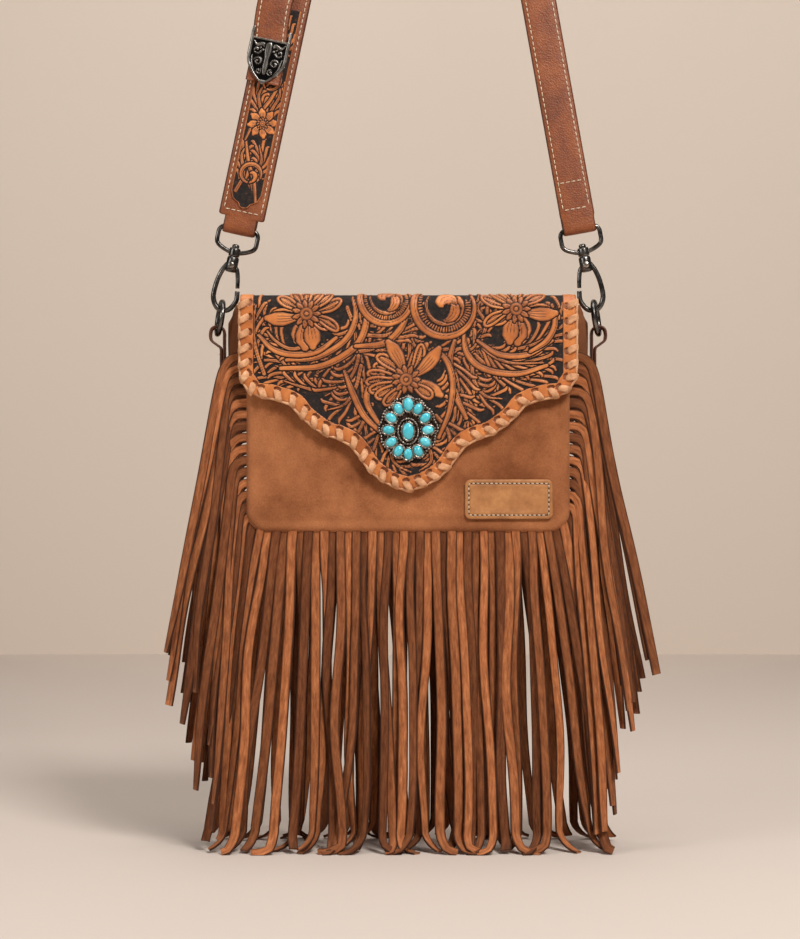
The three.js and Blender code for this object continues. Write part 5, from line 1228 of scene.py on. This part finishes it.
# Label patch: a bare piece of tan leather with rounded corners. A line is pressed round it near the
# rim, and it is sewn to the front panel along that line with pale thread.
patch_low, patch_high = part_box("label_patch")
PATCH_CORNER = 4.5 * MM
PATCH_STITCH = (3.3 * MM, 2.0 * MM, 0.46 * MM)
PATCH_LINE = 3.0 * MM
patch_leather = mottled("patch_leather", (70, 6, 0.7),
                        [(0.28, (0.27, 0.1, 0.028)), (0.5, (0.41, 0.165, 0.05)),
                         (0.74, (0.56, 0.25, 0.085))],
                        0.5, (700, 4), 0.00025, 0.6)


def rounded_ring(half_x, half_z, corner, inset, count=14):
    """Places round a rounded rectangle, drawn in by an inset."""
    corner = max(corner - inset, 0.4 * MM)
    half_x, half_z = half_x - inset, half_z - inset
    ring = []
    for k, (across, up) in enumerate(((1, -1), (1, 1), (-1, 1), (-1, -1))):
        turn = np.linspace(-math.pi / 2, 0, count) + k * math.pi / 2
        ring.append(np.stack([across * (half_x - corner) + corner * np.cos(turn),
                              up * (half_z - corner) + corner * np.sin(turn)], -1))
    ring = np.concatenate(ring)
    fuller = []
    for a, b in zip(ring, np.roll(ring, -1, 0)):
        pieces = 12 if np.linalg.norm(b - a) > 5 * MM else 1
        fuller += [a + (b - a) * k / pieces for k in range(pieces)]
    return np.array(fuller)


patch_half = ((patch_high.x - patch_low.x) / 2, (patch_high.z - patch_low.z) / 2)
patch_centre = ((patch_high.x + patch_low.x) / 2, (patch_high.z + patch_low.z) / 2)


def on_patch(ring, rise):
    """A flat ring laid on the patch at a rise above its back."""
    return np.insert(ring + patch_centre, 1, patch_high.y - rise, 1)


steps = [(0, 0.2), (0.05, 1.5), (0.5, 2.1), (1.1, 2.3), (2.0, 2.3), (2.6, 2.2), (3.0, 1.75), (3.5, 2.15),
         (5.4, 2.1), (6.2, 1.95), (10, 2.05), (14, 2.1)]
layers = [on_patch(rounded_ring(*patch_half, PATCH_CORNER, inset * MM), rise * MM) for inset, rise in steps]
count = min(len(layer) for layer in layers)
layers = [layer[np.linspace(0, len(layer), count, endpoint=False).astype(int)] for layer in layers]
faces, first, last = ring_faces(len(layers), count)
add_mesh("label_patch", np.concatenate(layers), faces + [first[::-1], last], patch_leather, "bag",
         ("label_patch",), "patch")
ring = rounded_ring(*patch_half, PATCH_CORNER, PATCH_LINE)
row = on_patch(np.concatenate([ring, ring[:1]]), 2.05 * MM)
# A thin dark tube is laid in the pressed groove under the stitches: painted shade in the groove and in the
# gaps between the stitches.
groove_shade_paint, nodes, links, shader, where = new_material("painted_groove_shade")
shader.inputs["Base Color"].default_value = (0.05, 0.016, 0.006, 1)
shader.inputs["Roughness"].default_value = 0.8
groove_shade_tube = tube_parts(row[:-1] + (0, 0.08 * MM, 0), 0.5 * MM, 8, closed=True)
add_mesh("patch_painted_groove_shade", *groove_shade_tube, groove_shade_paint, "bag")
add_stitches("patch_stitches", stitch_row(row - (0, 0.1 * MM, 0), (0, -1, 0), *PATCH_STITCH))


# Short strap, on the left: firm pebbled leather, folded round the eye below and the buckle's bar above,
# stitched along both edges in pale thread, with burnished dark edges.
joint_at = {joint["name"]: joint for joint in frame["joints"]}
STRAP_THICK = 3 * MM
SHORT_WIDE, SHORT_NECK, SHORT_LONG = 34 * MM, 24 * MM, 225 * MM
EYE_BEND, BAR_BEND = 3.45 * MM, 3.55 * MM
STRAP_STITCH = (4.2 * MM, 2.9 * MM, 0.42 * MM)
SHORT_ROW = 13.8 * MM
strap_leather, nodes, links, shader, where = new_material("strap_leather")
mark, split = point_mark(nodes, links, "across")
far = math_node(nodes, links, "ABSOLUTE", mark["Fac"])
burnish = share_node(nodes, links, far, [(0.9, 0), (0.985, 1)])
grain = noise_node(nodes, links, where, 60, 6, 0.65)
browns = [(0.3, (0.14, 0.031, 0.006)), (0.52, (0.23, 0.056, 0.011)), (0.75, (0.31, 0.086, 0.02))]
hide = ramp_node(nodes, links, grain, browns)
links.new(mix_colour(nodes, links, burnish, hide, (0.07, 0.02, 0.008)), shader.inputs["Base Color"])
shader.inputs["Roughness"].default_value = 0.5
pebble = nodes.new("ShaderNodeTexVoronoi")
pebble.inputs["Scale"].default_value = 750
links.new(where, pebble.inputs["Vector"])
add_bump(nodes, links, shader, pebble.outputs["Distance"], 0.00035, 0.6)


def leaning(side):
    """Places on a strap from its eye's top: across, forward (less) or back, and up the strap."""
    base = Vector(joint_at[f"{side}_eye_swing"]["pos_m"])
    right = Vector(joint_at[f"{side}_eye_swing"]["axis"]).normalized()
    up = Vector(joint_at[f"{side}_hook_swivel"]["axis"]).normalized()

    def place(x, y, z):
        return np.array(base + right * x + Vector((0, 1, 0)) * y + up * z)

    return place, np.array(right), np.array(up)


def fold(place, y, z, height, across, wide):
    """Half a turn of a strap round a bar."""
    return [(place(0, y * math.cos(turn), height + z * math.sin(turn)), across, wide)
            for turn in np.linspace(0, math.pi, 13)]


def run(place, y, across, heights, widths):
    """A straight length of a strap; widths is one number, or one in millimetres for each height."""
    if np.ndim(widths):
        widths = np.array(widths) * MM
    widths = np.broadcast_to(widths, np.shape(heights))
    return [(place(0, y, height * MM), across, wide) for height, wide in zip(heights, widths)]


def add_band(name, stations, thick):
    """A strap of one thickness through stations of place, direction across and width."""
    path, side, wide = (np.array([station[k] for station in stations]) for k in range(3))
    points, faces = band_parts(path, side, wide, thick)
    piece = add_mesh(name, points, faces, strap_leather, "bag", (name,), "strap_leather")
    marks = [-1, -0.88, -0.45, 0, 0.45, 0.88, 1]
    set_marks(piece, "across", "FLOAT", "value", np.tile(marks + marks[::-1], len(path)))


place, across, up = leaning("left")
stations = run(place, EYE_BEND, across, range(36, 0, -6), SHORT_NECK)
stations += fold(place, EYE_BEND, -EYE_BEND, 0, across, SHORT_NECK)
stations += run(place, -EYE_BEND, across, (2, 4, 6, 7.4), SHORT_NECK)
stations += run(place, -EYE_BEND, across, (7.5, 8.2, 9), (31, 33.4, 34))
stations += run(place, -EYE_BEND, across, np.linspace(12, 209, 60), SHORT_WIDE)
stations += run(place, -EYE_BEND, across, (211, 213, 215, 220), (33, 27, 23, 22))
stations += fold(place, -BAR_BEND, BAR_BEND, SHORT_LONG, across, 22 * MM)
stations += run(place, BAR_BEND, across, (219, 213, 211, 205, 197, 189), (22, 24, 32, 32, 32, 32))
add_band("strap_short", stations, STRAP_THICK)

face = -EYE_BEND - STRAP_THICK / 2
rows = []
for side in (-1, 1):
    edge_row = [place(side * SHORT_ROW, face, z * MM) for z in np.linspace(12, 208, 40)]
    rows += stitch_row(edge_row, (0, -1, 0), *STRAP_STITCH)
foot_row = [place(x, face, 12 * MM) for x in np.linspace(-SHORT_ROW, SHORT_ROW, 12)]
rows += stitch_row(foot_row, (0, -1, 0), *STRAP_STITCH)
add_stitches("short_strap_stitches", rows)


# Overlay on the short strap: the same carved leather as the flap, in a narrow strip with a flower and
# running leaves on a dark ground, glued down and held by the strap's stitching.
OVERLAY_WIDE, OVERLAY_LONG, OVERLAY_START = 24 * MM, 150 * MM, 14 * MM


def overlay_sheet():
    columns, rows = 64, 330
    x = np.linspace(-1, 1, columns)[None] * np.ones((rows, 1))
    z = np.linspace(0, OVERLAY_LONG, rows)[:, None] * np.ones((1, columns))
    narrow = np.interp(z, [0, 1.5 * MM, 4 * MM, 6.5 * MM, 12 * MM], [0.06, 0.3, 0.42, 0.8, 1])
    aside = x * narrow * OVERLAY_WIDE / 2
    flat = np.stack([aside.ravel(), z.ravel()], -1) * 1000
    work = Carving(flat)
    for low in (8, 56, 100):
        side = 1 if low != 56 else -1
        near, far, stem = ([(side * x, low + z) for x, z in knots] for knots in (
            ((8, 0), (2, 14), (6, 28), (2, 40)),
            ((-8, 4), (-5, 16), (-9, 30), (-7, 38)),
            ((9, -6), (4, 12), (-3, 26), (-9, 44))))
        work.frond(near, 5, 7)
        work.frond(far, 4, 6)
        work.stroke(stem, [0.7, 1.3, 1.3, 0.6], 0.5, 0.4, ((0.4, 0.2),))
    petals = [(k * 45 + 10, 1.0, 0.26, 0.1) for k in range(8)]
    work.flower((1, 64), 10.5, petals, 0.95)
    work.flower((-1, 128), 9.5, petals, 0.7)
    work.scroll((0, 26), 8, 0.4, 1, 1.4, False)
    work.scroll((0, 96), 8, 2.4, -1, 1.4, False)
    inset = (1 - np.abs(x)) * narrow * OVERLAY_WIDE / 2 * 1000
    inset = np.minimum(inset, z * 1000).ravel()
    work.settle(-0.5, inset < 1.2, 0.4, 0.25, 0.3)
    height = (work.height * 0.55 * MM - 0.9 * MM * np.clip(1 - inset / 0.7, 0, 1) ** 2).reshape(x.shape)
    skin = place(0, 0, OVERLAY_START) + across * aside[..., None] + up * z[..., None]
    front, back = skin.copy(), skin.copy()
    front[..., 1] = face - 1.0 * MM - height
    back[..., 1] = face + 0.1 * MM
    return *slab_parts(front, back), work.marks()


points, faces, marks = overlay_sheet()
piece = add_mesh("strap_overlay", points, faces, flap_leather, "bag", ("strap_overlay",), "overlay")
set_marks(piece, "carved", "FLOAT_VECTOR", "vector", marks)


# Long strap: the same leather, 25 mm wide. Its billet hangs in front of the short strap, passes the
# buckle, goes over the top and comes down to the right eye, where it is folded back and box stitched.
LONG_WIDE, LONG_THICK, ARCH = 25.4 * MM, 2.5 * MM, 45 * MM
arch_centre = np.array([0, 0, LONG_THICK / 2 - ARCH])


def ease(value, low, high):
    share = min(max((value - low) / (high - low), 0), 1)
    return share * share * (3 - 2 * share)


def twist_to(flat, share):
    return flat * math.cos(share * math.pi / 2) + np.array([0, 1, 0]) * math.sin(share * math.pi / 2)


BILLET_ASIDE = -8.3 * MM
TOE = -1.4 * MM
RIGHT_BEND = 3.2 * MM
RIGHT_NECK = 24 * MM
LONG_ROW = 9.6 * MM
right_place, right_across, right_up = leaning("right")
stations = []
for below in np.concatenate([np.linspace(118, 10, 50), [6, 2, -2]]):
    y = (-6.6 - 1.4 * ease(below, 34, 60)) * MM
    aside = ease(below, 14, 60) * (1 - 0.4 * ease(below, 60, 110))
    stations.append((place(BILLET_ASIDE * aside, y, SHORT_LONG - below * MM), -across, LONG_WIDE))
for z, y in ((14, TOE - 2.34 * MM), (23, TOE), (27, TOE), (32, TOE)):
    stations.append((place(0, y, SHORT_LONG + z * MM), -across, LONG_WIDE))
start = SHORT_LONG + 32 * MM
left_rise = float((arch_centre - place(0, 0, 0)) @ up)
for share in np.linspace(0, 1, 26)[1:]:
    spot = place(0, TOE * (1 - ease(share, 0, 0.5)), start + (left_rise - start) * share)
    stations.append((spot, twist_to(-across, share), LONG_WIDE))
left_turn = math.pi - math.atan2(up[0], up[2])
right_turn = -math.atan2(right_up[0], right_up[2])
for angle in np.linspace(left_turn, right_turn, 26)[1:-1]:
    spot = arch_centre + ARCH * np.array([math.cos(angle), 0, math.sin(angle)])
    stations.append((spot, np.array([0, 1, 0]), LONG_WIDE))
right_rise = float((arch_centre - right_place(0, 0, 0)) @ right_up)
for share in np.linspace(0, 1, 30):
    spot = right_place(0, -RIGHT_BEND * ease(share, 0.5, 1), right_rise + (230 * MM - right_rise) * share)
    stations.append((spot, twist_to(right_across, 1 - share), LONG_WIDE))
stations += run(right_place, -RIGHT_BEND, right_across, np.linspace(224, 12, 50), LONG_WIDE)
stations += run(right_place, -RIGHT_BEND, right_across, (9, 7.5, 6, 3), (25.4, 24.6, 24, 24))
stations += fold(right_place, -RIGHT_BEND, -RIGHT_BEND, 0, right_across, RIGHT_NECK)
stations += run(right_place, RIGHT_BEND, right_across, (4, 12, 20, 28, 36), RIGHT_NECK)
add_band("strap_long", stations, LONG_THICK)

spots = np.array([spot for spot, direction, wide in stations[2:-22]])
directions = np.array([direction for spot, direction, wide in stations[2:-22]])
outward = unit(np.cross(np.gradient(spots, axis=0), directions))
rows = []
for side in (-1, 1):
    edge_row = spots + directions * side * LONG_ROW + outward * LONG_THICK / 2
    rows += stitch_row(edge_row, outward, *STRAP_STITCH)
for z in (14, 34):
    box_row = [right_place(x, -RIGHT_BEND - LONG_THICK / 2, z * MM)
               for x in np.linspace(-LONG_ROW, LONG_ROW, 10)]
    rows += stitch_row(box_row, (0, -1, 0), *STRAP_STITCH)
add_stitches("long_strap_stitches", rows)


# Strap tip: a cast shield on the billet's end, its field sunk and darkened behind a longhorn's head and
# scrollwork. Two arms of the rim run on up beside the strap, which is gripped between them.
TIP_HALF, TIP_HIGH, TIP_FOOT = 14.5 * MM, 42 * MM, SHORT_LONG - 120 * MM
TIP_X = BILLET_ASIDE * (1 - 0.4 * ease(99, 60, 110))
TIP_BACK = -9.5 * MM
cast_silver, nodes, links, shader, where = new_material("cast_silver")
split = point_mark(nodes, links, "carved")[1]
greys = [(0.3, (0.17, 0.15, 0.13)), (0.7, (0.42, 0.38, 0.34))]
bright = ramp_node(nodes, links, noise_node(nodes, links, where, 240, 4), greys)
links.new(mix_colour(nodes, links, split["X"], bright, (0.012, 0.011, 0.01)), shader.inputs["Base Color"])
shader.inputs["Metallic"].default_value = 1
shader.inputs["Roughness"].default_value = 0.34
add_bump(nodes, links, shader, noise_node(nodes, links, where, 900, 2), 0.00012, 0.4)


def shield_half(z):
    """Half the shield's width at a height above its point."""
    low = np.clip(1 - z / (0.46 * TIP_HIGH), 0, 1)
    return TIP_HALF * (1 - low ** 1.9)


def tip_plate():
    rows, columns = 120, 90
    z = np.linspace(0.15 * MM, 33.5 * MM, rows)[:, None] * np.ones((1, columns))
    x = np.linspace(-1, 1, columns)[None] * shield_half(z)
    work = Carving(np.stack([x.ravel(), z.ravel()], -1) * 1000)
    for side in (-1, 1):
        work.scroll((side * 8, 24.5), 3.0, 1.5 if side > 0 else 1.6, side, 0.6, False)
        work.scroll((side * 6.2, 16.5), 2.8, 0.3 if side > 0 else 2.8, side, 0.6, False)
        work.scroll((side * 4.2, 9.5), 2.0, 1.2, side, 0.5, False)
        work.stroke([(side * 11.2, 20), (side * 9.6, 12.5), (side * 5.6, 5.6)], [0.3, 0.6, 0.3], 0.4, 0.4)
        horn = [(side * 1.4, 27.6), (side * 5.0, 29.4), (side * 9.0, 28.2), (side * 11.6, 30.8)]
        work.stroke(horn, [1.5, 1.2, 0.9, 0.25], 0.9, 0.6)
        work.stroke([(side * 1.6, 25.4), (side * 4.6, 25.2)], [0.8, 0.5], 0.8, 0.4)
    head = [(0, 29.2), (0, 23), (0, 15), (0, 8.6)]
    work.stroke(head, [2.3, 2.5, 1.5, 1.9, 1.2], 1.0, 0.9, ((0, 0.25),), 0.55)
    from_side = (shield_half(z) - np.abs(x)) * 1000 * 0.9
    inset = np.minimum(from_side, np.minimum(z * 550, 34 - z * 1000 + 0.4)).ravel()
    rim = inset < 1.9
    rounded = 0.9 + 0.7 * np.sqrt(np.clip(1 - (inset[rim] - 1.0) ** 2, 0, 1))
    work.settle(-0.4, rim, rounded, 0, 0.5)
    edge = (inset >= 1.9) & (inset < 2.3)
    work.height[edge], work.cut[edge] = -0.3, 1
    height = (work.height * 0.5 * MM).reshape(x.shape) * np.clip(inset.reshape(x.shape) / 0.4, 0.2, 1)
    skin = place(TIP_X, 0, TIP_FOOT) + across * x[..., None] + up * z[..., None]
    front, back = skin.copy(), skin.copy()
    front[..., 1], back[..., 1] = TIP_BACK - 1.4 * MM - height, TIP_BACK
    return *slab_parts(front, back), work.marks()


points, faces, marks = tip_plate()
parts = [(points, faces)]
for side in (-1, 1):
    arm = [(shield_half(z * MM) - 0.9 * MM, -0.9, z) for z in (20, 26, 32, 37)] + [(13.2 * MM, -0.7, 41.2)]
    arm = [place(TIP_X + side * x, TIP_BACK + y * MM, TIP_FOOT + z * MM) for x, y, z in arm]
    parts.append(tube_parts(smooth_line(arm, 6), 1.25 * MM, 10))
points, faces = gather(parts)
piece = add_mesh("strap_tip", points, faces, cast_silver, "bag", ("strap_tip",), "old_silver")
set_marks(piece, "carved", "FLOAT_VECTOR", "vector", np.pad(marks, ((0, len(points) - len(marks)), (0, 0))))


# Keeper: a narrow band of the strap's leather round both straps a little below the buckle. It is left
# plain, and its ends are butted together and sewn behind, where the seam doesn't show.
KEEPER_Z = SHORT_LONG - 24 * MM
KEEPER_HALF, KEEPER_DEEP, KEEPER_CORNER = 18.1 * MM, 8.4 * MM, 3 * MM
KEEPER_WIDE, KEEPER_THICK = 9 * MM, 1.6 * MM
loop = rounded_ring(KEEPER_HALF, KEEPER_DEEP, KEEPER_CORNER, 0, 6)
loop = np.concatenate([loop, loop[:1]])
stations = [(place(x, y - 2.25 * MM, KEEPER_Z), up, KEEPER_WIDE) for x, y in loop]
add_band("strap_keeper", stations, KEEPER_THICK)


# Buckle: a cast frame with rounded corners, of darkened silver. The short strap's fold holds its lower
# bar, and from there it leans forward so that the long strap passes up through it.
BUCKLE_HALF, BUCKLE_HIGH, BUCKLE_CORNER = 15.7 * MM, 13.5 * MM, 3.5 * MM
BUCKLE_WIRE = 1.75 * MM
BUCKLE_LEAN = 5.1 / 27
ring = rounded_ring(BUCKLE_HALF, BUCKLE_HIGH, BUCKLE_CORNER, 0, 8) + (0, BUCKLE_HIGH)
frame_path = [place(x, -z * BUCKLE_LEAN, SHORT_LONG + z) for x, z in ring]
points, faces = tube_parts(frame_path, BUCKLE_WIRE, 14, lie=across, closed=True)
add_mesh("buckle_frame", points, faces, old_silver, "bag", ("buckle_frame",), "old_silver")


# Side hardware, cast and wire parts plated dark: a ring in a leather tab on each side, and a snap hook
# whose head turns under the strap's eye, with a sprung gate on a rivet.
gunmetal = metal("gunmetal", (0.05, 0.045, 0.04), (0.22, 0.2, 0.18), 0.27, 120)
HOOK_FOOT, RIVET_Z = -61.3, 33.5
EYE_HALF, EYE_HIGH, EYE_CORNER, EYE_WIRE = 14.65 * MM, 9 * MM, 5 * MM, 1.65 * MM
RING_RADIUS, RING_WIRE = 12 * MM, 2 * MM
TAB_WIDE, TAB_THICK = 12 * MM, 1.9 * MM
TAB_STITCH = (2.6 * MM, 1.9 * MM, 0.38 * MM)
FORWARD = np.array([0, 1.0, 0])
COLLAR = [(2.1, -3.02), (4, -3), (4.1, -2.2), (4.1, 2.2), (3.8, 3), (2.1, 3.02)]
HEAD = [(0, 28.5), (3.2, 28.5), (4.1, 29.4), (4.4, 30.6), (4.4, 38.6), (4.0, 39.6), (3.2, 40), (1.7, 40),
        (1.7, 46.6), (2.5, 46.6), (2.7, 47.2), (2.6, 48.4), (1.8, 49.2), (0, 49.3)]
ARM = [(-3.2, 34.5), (-6.2, 28.5), (-8.3, 19.5), (-8.5, 8.5), (-4.9, 1.7), (0, 0), (4.9, 1.7), (8.5, 8.5),
       (8.0, 15.6)]
GATE = [(1.8, 33.2), (4.6, 30.5), (6.4, 24.5), (7.6, 17.8)]
RIVET = [(0, -4.9), (1.9, -4.9), (2.3, -4.6), (2.3, 4.6), (1.9, 4.9), (0, 4.9)]
TAB = [(-5.09, -34), (-5.09, -20), (-5.09, -6), (-5.0, 1.2), (-3.4, 4.4), (0, 5.5), (3.4, 4.4), (5.0, 1.2),
       (4.6, -4.4), (0.4, -8), (-2.6, -11), (-2.79, -20), (-2.79, -34)]


def turned_parts(profile, centre, axis, side, sides=28):
    """A turned piece from (radius, height) pairs about an axis."""
    other = np.cross(axis, side)
    t = np.arange(sides) / sides * 2 * math.pi
    ring = np.cos(t)[:, None] * side + np.sin(t)[:, None] * other
    points = np.concatenate([centre + axis * z * MM + ring * max(r, 0.01) * MM for r, z in profile])
    faces, first, last = ring_faces(len(profile), sides)
    return points, faces + [first[::-1], last]


for name, side in (("left", -1), ("right", 1)):
    spot, sideways, upward = leaning(name)

    def on_hook(x, z):
        return spot(-side * x * MM, 0, (HOOK_FOOT + z) * MM)

    def add_metal(kind, parts, body, finish=gunmetal):
        add_mesh(f"{name}_{kind}", *parts, finish, f"{name}_{body}", (f"{name}_{kind}",), "gunmetal")

    eye_ring = rounded_ring(EYE_HALF, EYE_HIGH, EYE_CORNER, 0, 8)
    squeeze = 1 - 0.62 * np.clip(-eye_ring[:, 1] / EYE_HIGH, 0, 1) ** 3
    path = [spot(x * k, 0, z - EYE_HIGH) for (x, z), k in zip(eye_ring, squeeze)]
    collar = turned_parts(COLLAR, spot(0, 0, -2 * EYE_HIGH), upward, sideways)
    add_metal("eye", gather([tube_parts(path, EYE_WIRE, 14, closed=True), collar]), "eye")

    arm = smooth_line([on_hook(x, z) for x, z in ARM], 10)
    girth = np.interp(np.linspace(0, 1, len(arm)), [0, 0.3, 0.62, 1], [1.75, 1.85, 2.0, 1.75]) * MM
    head = turned_parts(HEAD, on_hook(0, 0), upward, sideways)
    add_metal("hook", gather([head, tube_parts(arm, girth, 16)]), "hook")

    gate = smooth_line([on_hook(x, z) for x, z in GATE], 8)
    add_metal("gate", tube_parts(gate, np.linspace(1.75, 1.5, len(gate)) * MM, 14), "gate")
    add_metal("rivet", turned_parts(RIVET, on_hook(0, RIVET_Z), FORWARD, sideways), "hook", old_silver)

    foot = np.array(joint_at[f"{name}_ring_swing"]["pos_m"])
    rise = np.array([-side * 0.141, 0, 0.99])
    wide = np.array([side * 0.19701, 0.98, 0.028])
    t = np.linspace(0, 2 * math.pi, 61)[:-1]
    circle = foot + RING_RADIUS * (rise * (1 - np.cos(t))[:, None] + wide * np.sin(t)[:, None])
    add_metal("ring", tube_parts(circle, RING_WIRE, 16, lie=np.cross(rise, wide), closed=True), "ring")

    fold_line = smooth_line([foot + (side * x * MM, 0, z * MM) for x, z in TAB], 5)
    add_band(f"{name}_tab", [(spot_at, FORWARD, TAB_WIDE) for spot_at in fold_line], TAB_THICK)
    row = [foot + (side * -1.75 * MM, y * MM, -15 * MM) for y in (-4, -2, 0, 2, 4)]
    add_stitches(f"{name}_tab_stitches", stitch_row(row, (side, 0, 0), *TAB_STITCH))


# Four plain pieces keep the shapes they are made in and only take their metal: the buckle's prong, the
# post behind the concho, and the stud and socket of the magnetic snap.
for node in ("buckle_prong", "concho_post", "snap_stud", "snap_socket"):
    made = frame["nodes"][node]
    made.data.materials.clear()
    made.data.materials.append(gunmetal if node.startswith("snap") else old_silver)
